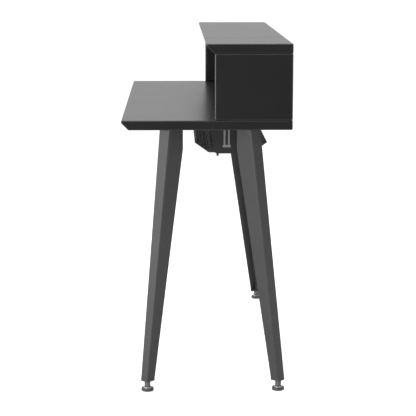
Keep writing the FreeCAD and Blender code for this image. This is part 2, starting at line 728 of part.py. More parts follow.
def rib_points():
    """The corners of a rib, seen from the desk's end."""
    return [
        FreeCAD.Vector(0, size("tray_front_tip"), size("tray_tip_z")),
        FreeCAD.Vector(0, size("tray_front_corner"), size("tray_bottom_z")),
        FreeCAD.Vector(0, size("tray_rear_corner"), size("tray_bottom_z")),
        FreeCAD.Vector(0, size("tray_rear_tip"), size("tray_tip_z")),
    ]


def bent_path(points, radius):
    """Straight runs through the points, joined by tangent arcs of one radius."""
    edges = []
    start = points[0]
    for before, corner, after in zip(points, points[1:], points[2:]):
        arrive = (corner - before).normalize()
        leave = (after - corner).normalize()
        half_turn = arrive.getAngle(leave) / 2
        trim = radius * math.tan(half_turn)
        first = corner - arrive * trim
        last = corner + leave * trim
        inward = (leave - arrive).normalize()
        middle = corner + inward * (radius / math.cos(half_turn) - radius)
        edges.append(Part.LineSegment(start, first).toShape())
        edges.append(Part.Arc(first, middle, last).toShape())
        start = last
    edges.append(Part.LineSegment(start, points[-1]).toShape())
    return Part.Wire(edges)


def rib_xs():
    """Places of the ribs along the desk."""
    count = int(size("rib_count"))
    pitch = 2 * size("tray_half_length") / (count - 1)
    return [-size("tray_half_length") + pitch * i for i in range(count)]


def long_wire_places():
    """Where the long wires cross a rib: along both slopes and along the flat bottom."""
    gap = 2 * size("wire_radius")
    front_tip, front_corner, rear_corner, rear_tip = rib_points()
    places = []
    for tip, corner in ((front_tip, front_corner), (rear_tip, rear_corner)):
        slope = (corner - tip).normalize()
        inward = FreeCAD.Vector(0, -slope.z, slope.y)
        if inward.z < 0:
            inward = inward * -1
        for share in SLOPE_WIRE_SHARES:
            places.append(tip + (corner - tip) * share + inward * gap)
    for share in BOTTOM_WIRE_SHARES:
        places.append(front_corner + (rear_corner - front_corner) * share + UP * gap)
    return places


def make_tray_wires():
    """Bent cross ribs with long wires welded on top of them."""
    radius = size("wire_radius")
    path = bent_path(rib_points(), size("tray_bend_radius"))
    start = path.OrderedVertexes[0].Point
    along = (rib_points()[1] - rib_points()[0]).normalize()
    ring = Part.Wire([Part.makeCircle(radius, start, along)])
    rib = path.makePipeShell([ring], True, False)
    ribs = []
    for x in rib_xs():
        copy = rib.copy()
        copy.translate(RIGHT * x)
        ribs.append(copy)
    keep(shape("tray_ribs", Part.makeCompound(ribs)))
    reach = size("tray_half_length") + radius
    wires = [Part.makeCylinder(radius, 2 * reach, place - RIGHT * reach, RIGHT)
             for place in long_wire_places()]
    keep(shape("tray_long_wires", Part.makeCompound(wires)))


CLAMP_SCREW_RADIUS = 2.5
CLAMP_SCREW_HEAD = 3.2
CLAMP_SCREW_HEAD_HEIGHT = 9.0
CLAMP_SCREW_LENGTH = 13.0
CLAMP_EDGE = 12.0
clamp_places = [(tray_screw_x, y) for y in (size("hanger_front") + CLAMP_EDGE,
                                            size("hanger_rear") - CLAMP_EDGE)]


def hanger_corners(low_z):
    """Wedges that bevel the hanger's lower corners to follow the ribs' slopes."""
    side = size("hanger_chamfer")
    slope_rise = size("tray_tip_z") - size("tray_bottom_z")
    rise = side * slope_rise / (size("tray_front_corner") - size("tray_front_tip"))
    start_x = size("hanger_web_x") - size("hanger_flange")
    wedges = []
    for corner_y, inward in ((size("hanger_front"), 1), (size("hanger_rear"), -1)):
        corner = FreeCAD.Vector(start_x, corner_y, low_z)
        outline = [corner, corner + BACKWARD * (side * inward), corner + UP * rise, corner]
        wedge = Part.Face(Part.makePolygon(outline))
        wedges.append(wedge.extrude(RIGHT * (size("hanger_flange") + size("hanger_sheet"))))
    return wedges


def make_tray_hanger():
    """A folded plate at each end: screwed on above, and under the ribs below."""
    web = "Sizes.hanger_web_x"
    sheet_out = f"({web} + Sizes.hanger_sheet)"
    inner = f"({web} - Sizes.hanger_flange)"
    rib_low = "(Sizes.tray_bottom_z - Sizes.wire_radius)"
    corners = [
        (inner, UNDER_Z),
        (sheet_out, UNDER_Z),
        (sheet_out, f"{rib_low} - Sizes.hanger_sheet"),
        (inner, f"{rib_low} - Sizes.hanger_sheet"),
        (inner, rib_low),
        (web, rib_low),
        (web, f"{UNDER_Z} - Sizes.hanger_sheet"),
        (inner, f"{UNDER_Z} - Sizes.hanger_sheet"),
    ]
    blank = padded("tray_hanger_blank", "XZ_Plane", "-Sizes.hanger_rear", corners,
                   "Sizes.hanger_rear - Sizes.hanger_front")
    low_z = size("tray_bottom_z") - size("wire_radius") - size("hanger_sheet")
    top_low_z = under_z - size("hanger_sheet")
    holes = [(FreeCAD.Vector(x, y, top_low_z), UP, TRAY_SCREW_RADIUS, size("hanger_sheet"))
             for x, y in tray_screw_places if x > 0]
    holes += [(FreeCAD.Vector(x, y, low_z), UP, CLAMP_SCREW_RADIUS, size("hanger_sheet"))
              for x, y in clamp_places]
    chamfers = shape("tray_hanger_chamfers", Part.makeCompound(hanger_corners(low_z)))
    bevelled = cut("tray_hanger_bevelled", blank, chamfers)
    hanger = keep(cut("tray_hanger_right", bevelled, drillings("tray_hanger_drillings", holes)))
    keep(mirror("tray_hanger_left", hanger))

    screws = [screw(FreeCAD.Vector(x, y, top_low_z), UP, TRAY_SCREW_RADIUS, TRAY_SCREW_LENGTH,
                    TRAY_SCREW_HEAD, TRAY_SCREW_HEAD_HEIGHT) for x, y in tray_screw_places]
    keep(shape("tray_screws", Part.makeCompound(screws)))
    clamps = [screw(FreeCAD.Vector(sign * x, y, low_z), UP, CLAMP_SCREW_RADIUS, CLAMP_SCREW_LENGTH,
                    CLAMP_SCREW_HEAD, CLAMP_SCREW_HEAD_HEIGHT) for sign in (-1, 1) for x, y in clamp_places]
    keep(shape("tray_clamp_screws", Part.makeCompound(clamps)))


def make_tray_straps():
    """A forked strap on the face of each hanger, its two strips reaching the desktop."""
    front, back = "Sizes.strap_front", "Sizes.strap_rear"
    foot_front = f"{front} - Sizes.strap_foot_overhang"
    foot_back = f"{back} + Sizes.strap_foot_overhang"
    foot_top = "Sizes.strap_foot_z + Sizes.strap_foot_height"
    corners = [
        (foot_front, "Sizes.strap_foot_z"),
        (foot_back, "Sizes.strap_foot_z"),
        (foot_back, foot_top),
        (back, foot_top),
        (back, UNDER_Z),
        (f"{back} - Sizes.strap_strip", UNDER_Z),
        (f"{back} - Sizes.strap_strip", foot_top),
        (f"{front} + Sizes.strap_strip", foot_top),
        (f"{front} + Sizes.strap_strip", UNDER_Z),
        (front, UNDER_Z),
        (front, foot_top),
        (foot_front, foot_top),
    ]
    right = padded("tray_strap_one", "YZ_Plane", "Sizes.hanger_web_x + Sizes.hanger_sheet", corners,
                   cell("strap_thickness"))
    keep(group("tray_straps", [right, mirror("tray_strap_two", right)]))


# ---------------------------------------------------------------- drawers

def make_drawer(level):
    """One drawer: a front with a finger scoop, a grooved box and its half of the rails."""
    number = 0 if level == "lower" else 1
    name = f"drawer_{level}"
    front_height_text = f"(({HUTCH_UNDER_Z} - {TOP_Z} - 3 * Sizes.drawer_gap) / 2)"
    base = f"({TOP_Z} + Sizes.drawer_gap + {number} * ({front_height_text} + Sizes.drawer_gap))"
    low = f"({base} + Sizes.drawer_box_raise)"
    high = f"({low} + Sizes.drawer_box_height)"
    front_face = f"({PANEL_FRONT} + Sizes.drawer_setback)"
    box_start = f"({front_face} + Sizes.drawer_front_thickness)"
    box_end = f"({box_start} + Sizes.drawer_box_length)"
    left = f"({PARTITION_RIGHT} + Sizes.drawer_side_gap)"
    right = f"({PANEL_INNER} - Sizes.drawer_side_gap)"
    side_thick = "Sizes.drawer_side_thickness"
    groove_low = f"({low} + Sizes.drawer_bottom_raise)"
    groove_high = f"({groove_low} + Sizes.drawer_bottom_thickness)"

    panel = (f"{left} + {side_thick} - Sizes.groove_depth", f"{right} - {side_thick} + Sizes.groove_depth")
    bottom = keep(box(f"{name}_bottom", panel, (f"{box_start} - Sizes.groove_depth", box_end),
                      (groove_low, groove_high)))

    base_z = drawer_bases[level]
    front = box(f"{name}_front_blank",
                (f"{PARTITION_RIGHT} + Sizes.drawer_gap", f"{PANEL_INNER} - Sizes.drawer_gap"),
                (front_face, box_start), (base, f"{base} + {front_height_text}"))
    rounded = eased(f"{name}_front_rounded", front, size("panel_ease"))
    middle_x = (partition_right + panel_inner) / 2
    half = size("finger_width") / 2
    deep = size("finger_depth")
    arc_radius = (half * half + deep * deep) / (2 * deep)
    arc_centre = FreeCAD.Vector(middle_x, front_face_y, base_z + front_height - deep + arc_radius)
    scoop = shape(f"{name}_scoop", Part.makeCylinder(arc_radius, size("drawer_front_thickness"),
                                                     arc_centre, BACKWARD))
    scooped = cut(f"{name}_front_scooped", rounded, scoop)
    keep(cut(f"{name}_front", scooped, bottom))

    centre_z = rail_centre(base_z)
    sides = (("left", (left, f"{left} + {side_thick}"), box_left, RIGHT),
             ("right", (f"{right} - {side_thick}", right), box_right, LEFT))
    for side, span, face_x, into in sides:
        blank = box(f"{name}_side_{side}_blank", span, (box_start, box_end), (low, high))
        grooved = cut(f"{name}_side_{side}_grooved", blank, bottom)
        holes = [(FreeCAD.Vector(face_x, y, centre_z), into, RAIL_SCREW_RADIUS,
                  RAIL_SCREW_LENGTH - size("rail_sheet")) for y in rail_screw_ys()]
        keep(cut(f"{name}_side_{side}", grooved, drillings(f"{name}_side_{side}_drillings", holes)))

    keep(box(f"{name}_back", (f"{left} + {side_thick}", f"{right} - {side_thick}"),
             (f"{box_end} - {side_thick}", box_end), (groove_high, high)))

    rails = []
    screws = []
    inner_rail_height = size("rail_height") - 2 * size("rail_sheet") - 2 * size("rail_clearance")
    for web_x, out in ((box_left, LEFT), (box_right, RIGHT)):
        rail = channel(web_x, out, centre_z, inner_rail_height, size("rail_depth") + RAIL_NEST)
        rails.append(drilled_rail(rail, web_x, out, centre_z))
        screws += rail_screws(web_x, out, centre_z)
    keep(shape(f"{name}_rails", Part.makeCompound(rails)))
    keep(shape(f"{name}_rail_screws", Part.makeCompound(screws)))


# --------------------------------------------------------------- assembly

make_desktop()
make_hutch_tops()
make_hutch_panels()
make_hutch_fasteners()
make_partition_angles()
make_cabinet_rails()

for corner, toward_front in (("front", True), ("rear", False)):
    leg = make_leg(corner, toward_front)
    leg_plate, foot_plate = make_leg_plates(corner, toward_front)
    keep(mirror(f"leg_{corner}_left", leg))
    keep(mirror(f"leg_plate_{corner}_left", leg_plate))
    keep(mirror(f"foot_plate_{corner}_left", foot_plate))
make_leg_screws()

lock_nuts = [make_foot(corner, side) for corner in ("front", "rear") for side in ("left", "right")]
keep(group("lock_nuts", lock_nuts))

make_tray_wires()
make_tray_hanger()
make_tray_straps()

for level in ("lower", "upper"):
    make_drawer(level)

doc.recompute()

# ------------------------------------------------------- checks and export

for item in doc.Objects:
    if "Invalid" in item.State or "Error" in item.State:
        raise RuntimeError(f"{item.Label} failed: {item.State}")

os.makedirs("parts", exist_ok=True)
for node in nodes:
    solid = node.Shape
    if solid.isNull() or not solid.isValid() or not solid.Solids:
        raise RuntimeError(f"{node.Label} has no valid solid")
    solid.exportStep(os.path.join("parts", f"{node.Label}.step"))
    print(f"{node.Label}: {len(solid.Solids)} solids, {solid.Volume / 1000:.1f} cm3")
print(f"{len(nodes)} nodes")
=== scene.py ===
"""Looks of the writing desk with drawers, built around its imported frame.

Lengths are in metres. Z is up, the desk's front faces -Y and its ends lie along X.
"""

import logging
import math
from dataclasses import dataclass
from enum import Enum
from typing import Any

import bpy
import numpy as np
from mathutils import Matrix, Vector


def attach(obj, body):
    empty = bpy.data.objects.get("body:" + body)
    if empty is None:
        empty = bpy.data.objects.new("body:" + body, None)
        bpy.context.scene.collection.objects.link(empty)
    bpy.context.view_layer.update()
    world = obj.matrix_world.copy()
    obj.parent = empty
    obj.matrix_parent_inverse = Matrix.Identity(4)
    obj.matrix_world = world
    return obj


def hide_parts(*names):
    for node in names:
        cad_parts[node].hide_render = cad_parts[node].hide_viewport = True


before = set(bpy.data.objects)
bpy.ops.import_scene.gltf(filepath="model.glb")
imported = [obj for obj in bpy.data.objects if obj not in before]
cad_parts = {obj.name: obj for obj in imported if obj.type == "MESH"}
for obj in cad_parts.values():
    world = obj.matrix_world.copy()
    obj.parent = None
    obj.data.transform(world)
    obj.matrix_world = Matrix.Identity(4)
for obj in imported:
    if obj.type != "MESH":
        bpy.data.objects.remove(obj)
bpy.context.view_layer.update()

Points = np.ndarray
Colour = tuple[float, float, float]
Spot = tuple[float, float]
log = logging.getLogger("writing_desk")

MM = 0.001
CORNERS = (("front", "left"), ("front", "right"), ("rear", "left"), ("rear", "right"))

# The legs' ridges: how far they stand from the middle, and their Y at the foot and at the top.
RIDGE_X = 549 * MM
FRONT_RIDGE = (-164 * MM, -99 * MM)
REAR_RIDGE = (199 * MM, 119 * MM)


# ------------------------------------------------------------ shader maths


class Wire:
    """One output in a node tree. Arithmetic on wires adds Math nodes."""

    def __init__(self, shader: "Shader", socket: bpy.types.NodeSocket) -> None:
        """Keeps the tree and the socket that the value comes from."""
        self.shader = shader
        self.socket = socket

    def _math(self, operation: str, *values: "Wire | float") -> "Wire":
        """Adds one Math node on the given values."""
        return self.shader.add("ShaderNodeMath", {"operation": operation}, dict(enumerate(values)))

    def __add__(self, other: "Wire | float") -> "Wire":
        """Sum of two values."""
        return self._math("ADD", self, other)

    def __sub__(self, other: "Wire | float") -> "Wire":
        """This value less the other."""
        return self._math("SUBTRACT", self, other)

    def __rsub__(self, other: "Wire | float") -> "Wire":
        """The other value less this one."""
        return self._math("SUBTRACT", other, self)

    def __mul__(self, other: "Wire | float") -> "Wire":
        """Product of two values."""
        return self._math("MULTIPLY", self, other)

    def __pow__(self, other: float) -> "Wire":
        """This value raised to a power."""
        return self._math("POWER", self, other)

    __radd__ = __add__
    __rmul__ = __mul__

    def between(self, low: float, high: float) -> "Wire":
        """Smooth step from 0 where the value is low to 1 where it is high.

        Args:
            low: Value that gives 0.
            high: Value that gives 1.

        Returns:
            The step, kept between 0 and 1.
        """
        return self.shader.add("ShaderNodeMapRange", {"interpolation_type": "SMOOTHSTEP"},
                               {"Value": self, "From Min": low, "From Max": high})


class Shader:
    """A node tree being built."""

    def __init__(self, tree: bpy.types.NodeTree) -> None:
        """Empties the tree and starts it anew."""
        self.tree = tree
        tree.nodes.clear()

    def add(self, kind: str, settings: dict[str, Any] | None = None,
            sockets: dict[str | int, Any] | None = None, output: str | int = 0) -> Wire:
        """Adds one node.

        Args:
            kind: The node's type name.
            settings: Properties of the node, set before its sockets.
            sockets: Values or wires for its inputs, by name or place.
            output: Which of its outputs is wanted.

        Returns:
            The wanted output; its node is reached through the wire's socket.
        """
        node = self.tree.nodes.new(kind)
        for name, value in (settings or {}).items():
            setattr(node, name, value)
        for key, value in (sockets or {}).items():
            if isinstance(value, Wire):
                self.tree.links.new(value.socket, node.inputs[key])
            else:
                node.inputs[key].default_value = value
        return Wire(self, node.outputs[output])

    def end(self, kind: str, surface: Wire) -> None:
        """Ends the tree with an output node that shows a surface."""
        self.tree.links.new(surface.socket, self.tree.nodes.new(kind).inputs["Surface"])

    def place(self, stretch: Colour = (1.0, 1.0, 1.0)) -> Wire:
        """Object coordinates, stretched along the axes."""
        where = self.add("ShaderNodeTexCoord", output="Object")
        return self.add("ShaderNodeMapping", {"vector_type": "POINT"}, {"Vector": where, "Scale": stretch})

    def noise(self, where: Wire, per_metre: float, detail: float = 2.0, rough: float = 0.5) -> Wire:
        """Cloudy values from 0 to 1 that change per_metre times over a metre."""
        return self.add("ShaderNodeTexNoise", {"noise_dimensions": "3D"},
                        {"Vector": where, "Scale": per_metre, "Detail": detail, "Roughness": rough})

    def cells(self, where: Wire, per_metre: float, output: str | int = "Color") -> Wire:
        """Cells with a random shade each, or the distance to a cell's middle."""
        return self.add("ShaderNodeTexVoronoi", {"feature": "F1"},
                        {"Vector": where, "Scale": per_metre}, output)

    def blend(self, share: Wire, first: Colour, second: Colour) -> Wire:
        """Colour that goes from first to second as share goes from 0 to 1."""
        return self.add("ShaderNodeMix", {"data_type": "RGBA"},
                        {0: share, 6: (*first, 1.0), 7: (*second, 1.0)}, 2)


# ---------------------------------------------------------------- finishes


@dataclass(frozen=True)
class Finish:
    """What every finish has: its slot in the record, its two shades, its gloss and its relief."""

    label: str
    slot: str
    dark: Colour
    light: Colour
    roughness: float
    roughness_swing: float
    relief: float
    metallic: float = 0.0
    specular: float = 0.5

    def pattern(self, shader: Shader) -> tuple[Wire, Wire, Wire]:
        """The finish's own pattern.

        Args:
            shader: The tree to add nodes to.

        Returns:
            Share of the light shade, share of the rougher gloss, and height of the relief.
        """
        raise NotImplementedError

    def material(self) -> bpy.types.Material:
        """Builds the material once and hands out the same one after that.

        Returns:
            The finish's material.
        """
        found = bpy.data.materials.get(self.label)
        if found is not None:
            return found
        made = bpy.data.materials.new(self.label)
        made.use_nodes = True
        shader = Shader(made.node_tree)
        shader.end("ShaderNodeOutputMaterial", self.surface(shader))
        return made

    def surface(self, shader: Shader) -> Wire:
        """The finish's surface, worked out from its pattern.

        Args:
            shader: The tree to add nodes to.

        Returns:
            The surface's output.
        """
        shade, gloss, height = self.pattern(shader)
        bump = shader.add("ShaderNodeBump", {},
                          {"Strength": 1.0, "Distance": self.relief, "Height": height})
        return shader.add("ShaderNodeBsdfPrincipled", {}, {
            "Base Color": shader.blend(shade, self.dark, self.light),
            "Roughness": self.roughness + (gloss - 0.5) * (2 * self.roughness_swing),
            "Metallic": self.metallic,
            "Specular IOR Level": self.specular,
            "Normal": bump,
        })


class SatinBoard(Finish):
    """Smooth satin black laminate with a faint cloudiness and a very fine emboss."""

    def pattern(self, shader: Shader) -> tuple[Wire, Wire, Wire]:
        """Clouds a hand wide, finer patches a finger wide, and an emboss under a millimetre.

        Args:
            shader: The tree to add to.

        Returns:
            Shade, gloss and height.
        """
        where = shader.place()
        clouds = shader.noise(where, 7.0, 4.0, 0.55)
        patches = shader.noise(where, 70.0, 3.0)
        emboss = shader.noise(where, 900.0, 2.0)
        return clouds * 0.6 + patches * 0.4, patches * 0.5 + clouds * 0.5, emboss + patches * 0.6


class PowderCoat(Finish):
    """Matt powder coat: rounded orange-peel relief with fine grit in its colour."""

    def pattern(self, shader: Shader) -> tuple[Wire, Wire, Wire]:
        """Peel about 2 mm across, grit half a millimetre across, and broad drifts of gloss.

        Args:
            shader: The tree to add to.

        Returns:
            Shade, gloss and height.
        """
        where = shader.place()
        peel = shader.noise(where, 420.0, 1.0)
        grit = shader.noise(where, 1900.0, 2.0, 0.7)
        drift = shader.noise(where, 14.0, 3.0)
        return grit * 0.55 + drift * 0.45, drift * 0.6 + grit * 0.4, peel + grit * 0.25


class CoatedWire(Finish):
    """Dipped coating on drawn wire: soft lumps and thin places."""

    def pattern(self, shader: Shader) -> tuple[Wire, Wire, Wire]:
        """Lumps 3 mm long on the wire and a fine skin over them.

        Args:
            shader: The tree to add to.

        Returns:
            Shade, gloss and height.
        """
        where = shader.place((0.5, 1.0, 1.0))
        lumps = shader.noise(where, 330.0, 2.0)
        skin = shader.noise(where, 2200.0, 1.0)
        return lumps * 0.7 + skin * 0.3, skin, lumps + skin * 0.2


class ZincPlate(Finish):
    """Zinc plated sheet: small crystals of differing shade and faint rolling lines."""

    def pattern(self, shader: Shader) -> tuple[Wire, Wire, Wire]:
        """Crystals 3 mm across, rolling lines half a millimetre apart.

        Args:
            shader: The tree to add to.

        Returns:
            Shade, gloss and height.
        """
        where = shader.place()
        crystals = shader.cells(where, 300.0)
        lines = shader.noise(shader.place((0.03, 1.0, 1.0)), 1700.0, 2.0)
        return crystals * 0.5 + lines * 0.5, crystals * 0.5 + lines * 0.5, lines + crystals * 0.3


class PlatedTurning(Finish):
    """Plated turned steel: tool lines round an upright axis and a stained plating."""

    def pattern(self, shader: Shader) -> tuple[Wire, Wire, Wire]:
        """Tool lines a quarter millimetre apart up the part, stains 5 mm across.

        Args:
            shader: The tree to add to.

        Returns:
            Shade, gloss and height.
        """
        lines = shader.noise(shader.place((0.05, 0.05, 1.0)), 4000.0, 2.0)
        stains = shader.noise(shader.place(), 220.0, 3.0, 0.6)
        return stains * 0.7 + lines * 0.3, stains * 0.5 + lines * 0.5, lines


class MouldedPlastic(Finish):
    """Moulded plastic with the fine spark texture of its mould and scuffed high spots."""

    def pattern(self, shader: Shader) -> tuple[Wire, Wire, Wire]:
        """Rounded pits a third of a millimetre across and scuffs 4 mm across.

        Args:
            shader: The tree to add to.

        Returns:
            Shade, gloss and height.
        """
        where = shader.place()
        pits = shader.cells(where, 3000.0, "Distance")
        scuffs = shader.noise(where, 260.0, 4.0, 0.65).between(0.35, 0.75)
        return scuffs, 1 - scuffs * 0.6, pits


class FoilWrap(Finish):
    """Matt foil pressed with a shallow straight grain along the board."""

    def pattern(self, shader: Shader) -> tuple[Wire, Wire, Wire]:
        """Grain lines 1 mm apart running 30 mm along X, with broad cloudiness.

        Args:
            shader: The tree to add to.

        Returns:
            Shade, gloss and height.
        """
        grain = shader.noise(shader.place((0.035, 1.0, 1.0)), 850.0, 3.0, 0.6)
        clouds = shader.noise(shader.place(), 20.0, 3.0)
        return grain * 0.6 + clouds * 0.4, grain, grain


class Beech(Finish):
    """Bare beech: pale straight grain along Z with short darker flecks."""

    def pattern(self, shader: Shader) -> tuple[Wire, Wire, Wire]:
        """Grain half a millimetre apart running 20 mm, and flecks 2 mm long.

        Args:
            shader: The tree to add to.

        Returns:
            Shade, gloss and height.
        """
        grain = shader.noise(shader.place((1.0, 1.0, 0.03)), 1600.0, 3.0, 0.6)
        flecks = shader.noise(shader.place((1.0, 1.0, 0.25)), 2400.0, 1.0).between(0.6, 0.75)
        return grain * (1 - flecks * 0.5), grain, grain


class StudioSweep(Finish):
    """The pale studio floor: matt, with barely visible drifts, and dim past the desk's right end."""

    wedge_start = 0.9
    wedge_end = 2.2
    wedge_blunt = 0.05
    glow = 0.68

    def pattern(self, shader: Shader) -> tuple[Wire, Wire, Wire]:
        """A dim wedge past the right end, drifts half a metre across and a fine tooth.

        Args:
            shader: The tree to add to.

        Returns:
            Shade, gloss and height.
        """
        where = shader.place()
        drifts = shader.noise(where, 2.0, 3.0)
        tooth = shader.noise(where, 600.0, 2.0)
        along = shader.add("ShaderNodeSeparateXYZ", {}, {"Vector": where}, "X")
        across = shader.add("ShaderNodeSeparateXYZ", {}, {"Vector": where}, "Y")
        wedge = along - (across * across + self.wedge_blunt) ** 0.5
        unseen = 1 - shader.add("ShaderNodeLightPath", output="Is Camera Ray")
        return 1 - wedge.between(self.wedge_start, self.wedge_end) * unseen + drifts * 0.05, drifts, tooth

    def surface(self, shader: Shader) -> Wire:
        """The floor as it is, lifted to white where it is looked at directly.

        Args:
            shader: The tree to add nodes to.

        Returns:
            The surface's output.
        """
        base = super().surface(shader)
        seen = shader.add("ShaderNodeLightPath", output="Is Camera Ray")
        node = base.socket.node
        shader.tree.links.new(seen.socket, node.inputs["Emission Color"])
        node.inputs["Emission Strength"].default_value = self.glow
        return base


BOARD = SatinBoard("Satin black board", "black_board", (0.011, 0.011, 0.012), (0.016, 0.016, 0.017),
                   0.30, 0.04, 0.000012, specular=0.6)
LEG_COAT = PowderCoat("Black powder coat", "leg_steel", (0.036, 0.036, 0.038), (0.060, 0.060, 0.062),
                      0.42, 0.06, 0.00004)
TRAY_COAT = PowderCoat("Dark powder coat", "tray_steel", (0.012, 0.012, 0.013), (0.022, 0.022, 0.023),
                       0.55, 0.05, 0.00003)
WIRE_COAT = CoatedWire("Black coated wire", "coated_wire", (0.030, 0.030, 0.031), (0.060, 0.060, 0.061),
                       0.34, 0.08, 0.00003)
# The straps' grey is partly their own coat and partly painted light: the tone is doubled to make up for the
# shade under the desktop.
STRAP_COAT_PAINTED_LIGHT = PowderCoat("Grey coated strip with painted light", "strap_steel", (0.20, 0.20, 0.203), (0.30, 0.30, 0.303),
                        0.45, 0.05, 0.00002)
ZINC = ZincPlate("Zinc plated sheet", "zinc_steel", (0.42, 0.43, 0.45), (0.62, 0.63, 0.64),
                 0.36, 0.07, 0.00001, metallic=1.0)
BRIGHT_SCREW = PlatedTurning("Zinc plated screw", "screw_steel", (0.40, 0.40, 0.41), (0.60, 0.60, 0.60),
                             0.32, 0.08, 0.00001, metallic=1.0)
DARK_SCREW = PlatedTurning("Blackened screw", "dark_screw", (0.016, 0.016, 0.017), (0.040, 0.040, 0.042),
                           0.38, 0.07, 0.00001, metallic=0.6)
FOOT_STEEL = PlatedTurning("Dark plated steel", "foot_steel", (0.10, 0.10, 0.105), (0.20, 0.20, 0.205),
                           0.34, 0.07, 0.00001, metallic=0.9)
FOOT_CUP = PlatedTurning("Bright plated cup", "zinc_steel", (0.50, 0.50, 0.51), (0.70, 0.70, 0.70),
                         0.34, 0.07, 0.00001, metallic=1.0)
FOOT_PLASTIC = MouldedPlastic("Dark grey plastic", "foot_plastic", (0.070, 0.070, 0.072),
                              (0.120, 0.120, 0.122), 0.50, 0.06, 0.00002, specular=0.3)
FOIL = FoilWrap("Black foil board", "drawer_board", (0.030, 0.030, 0.031), (0.048, 0.048, 0.049),
                0.50, 0.05, 0.00003)
DOWEL_WOOD = Beech("Beech dowel", "beech_dowel", (0.42, 0.26, 0.14), (0.68, 0.49, 0.31),
                   0.62, 0.06, 0.00004)
SWEEP = StudioSweep("Pale studio floor", "", (0.12, 0.12, 0.12), (0.80, 0.80, 0.80),
                    0.80, 0.02, 0.00002, specular=0.1)


# ---------------------------------------------------------------- surfaces


class Ends(Enum):
    """How the two ends of a stack of closed rings are closed."""

    POLES = "a point in the middle of each end ring"
    SHEET = "strips between facing points, for a bent sheet's section"
    LOOP = "the last ring joins the first"


def circle(sides: int) -> Points:
    """Angles of one turn in radians, without the repeated last one."""
    return np.arange(sides) * (2 * math.pi / sides)


def arc(centre: Spot, radius: float, start: float, end: float, steps: int) -> Points:
    """Points on a circular arc.

    Args:
        centre: Centre of the arc.
        radius: Its radius.
        start: Angle of the first point in degrees.
        end: Angle of the last point in degrees.
        steps: Number of chords.

    Returns:
        (steps + 1, 2) points: centre plus radius times the cosine and sine of the angle.
    """
    angles = np.radians(np.linspace(start, end, steps + 1))
    return np.stack([centre[0] + radius * np.cos(angles), centre[1] + radius * np.sin(angles)], axis=1)


def guarded(points: Points, inset: float, measured: Points | None = None) -> Points:
    """Adds two points to every long side of an outline, so that flats shade flat beside roundings.

    Args:
        points: (n, k) corners in order; any k values are carried along.
        inset: How far from the side's ends the new points lie.
        measured: (n, m) places that the sides are measured on, if not points.

    Returns:
        The outline with points at inset and at length less inset of each side over four insets.
    """
    places = points if measured is None else measured
    following = np.roll(points, -1, axis=0)
    length = np.linalg.norm(np.roll(places, -1, axis=0) - places, axis=1)
    long_side = length > 4 * inset
    share = (inset / np.maximum(length, 1e-12))[:, None]
    near = points + (following - points) * share
    far = following - (following - points) * share
    stacked = np.stack([points, near, far], axis=1)
    wanted = np.stack([np.ones_like(long_side), long_side, long_side], axis=1)
    return stacked[wanted]


class Shell:
    """Gathers closed surfaces made of rings into one mesh."""

    def __init__(self) -> None:
        """Starts with no points and no faces."""
        self.points: list[Points] = []
        self.quads: list[Points] = []
        self.triangles: list[Points] = []
        self.count = 0

    def stack(self, rings: Points, ends: Ends = Ends.POLES) -> "Shell":
        """Adds one closed surface through a stack of rings, with its faces turned outward.

        Args:
            rings: (m, n, 3) points: m rings of n points each.
            ends: How the first and last rings are closed.

        Returns:
            The shell itself.
        """
        rows, sides = rings.shape[:2]
        row = np.arange(rows if ends is Ends.LOOP else rows - 1)[:, None]
        column = np.arange(sides)[None, :]
        after, beside = (row + 1) % rows, (column + 1) % sides
        quads = np.stack([row * sides + column, row * sides + beside,
                          after * sides + beside, after * sides + column], axis=-1).reshape(-1, 4)
        points = rings.reshape(-1, 3)
        triangles = np.zeros((0, 3), int)
        last = (rows - 1) * sides
        if ends is Ends.POLES:
            points = np.concatenate([points, rings[:1].mean(axis=1), rings[-1:].mean(axis=1)])
            pole = rows * sides
            around, ahead = column[0], beside[0]
            first = np.stack([ahead, around, np.full(sides, pole)], axis=1)
            second = np.stack([last + around, last + ahead, np.full(sides, pole + 1)], axis=1)
            triangles = np.concatenate([first, second])
        if ends is Ends.SHEET:
            near = np.arange(sides // 2 - 1)
            far = sides - 1 - near
            first = np.stack([near, far, far - 1, near + 1], axis=1)
            second = last + np.stack([near + 1, far - 1, far, near], axis=1)
            quads = np.concatenate([quads, first, second])
        halves = np.concatenate([quads[:, [0, 1, 2]], quads[:, [0, 2, 3]], triangles])
        middle = points.mean(axis=0)
        a, b, c = (points[halves[:, k]] - middle for k in range(3))
        if np.einsum("ij,ij->", a, np.cross(b, c)) < 0:
            quads, triangles = quads[:, ::-1], triangles[:, ::-1]
        self.points.append(points)
        self.quads.append(quads + self.count)
        self.triangles.append(triangles + self.count)
        self.count += len(points)
        return self

    def mesh(self, name: str, sharp_above: float = 32.0) -> bpy.types.Mesh:
        """Makes the mesh.

        Args:
            name: The mesh's name.
            sharp_above: Edges that turn by more than this many degrees stay sharp.

        Returns:
            The mesh, smooth except at its sharp edges.
        """
        made = bpy.data.meshes.new(name)
        faces = np.concatenate(self.quads).tolist() + np.concatenate(self.triangles).tolist()
        made.from_pydata(np.concatenate(self.points).tolist(), [], faces)
        made.validate()
        made.shade_smooth()
        made.set_sharp_from_angle(angle=math.radians(sharp_above))
        return made


def turned(profile: Points, angles: Points, centre: Spot,
           shape: Points | None = None) -> Points:
    """Rings of a part turned round an upright axis.

    Each ring's radius is the profile's radius, or the profile's radius times the ring's own shape.

    Args:
        profile: (m, 2) radius and height of each ring.
        angles: (n,) angles round the axis.
        centre: The axis's X and Y.
        shape: (m, n) factors on the radius, or nothing for round rings.

    Returns:
        (m, n, 3) points.
    """
    radius = profile[:, :1] * (np.ones((1, len(angles))) if shape is None else shape)
    height = np.broadcast_to(profile[:, 1:2], radius.shape)
    x, y = centre[0] + radius * np.cos(angles), centre[1] + radius * np.sin(angles)
    return np.stack([x, y, height], axis=-1)


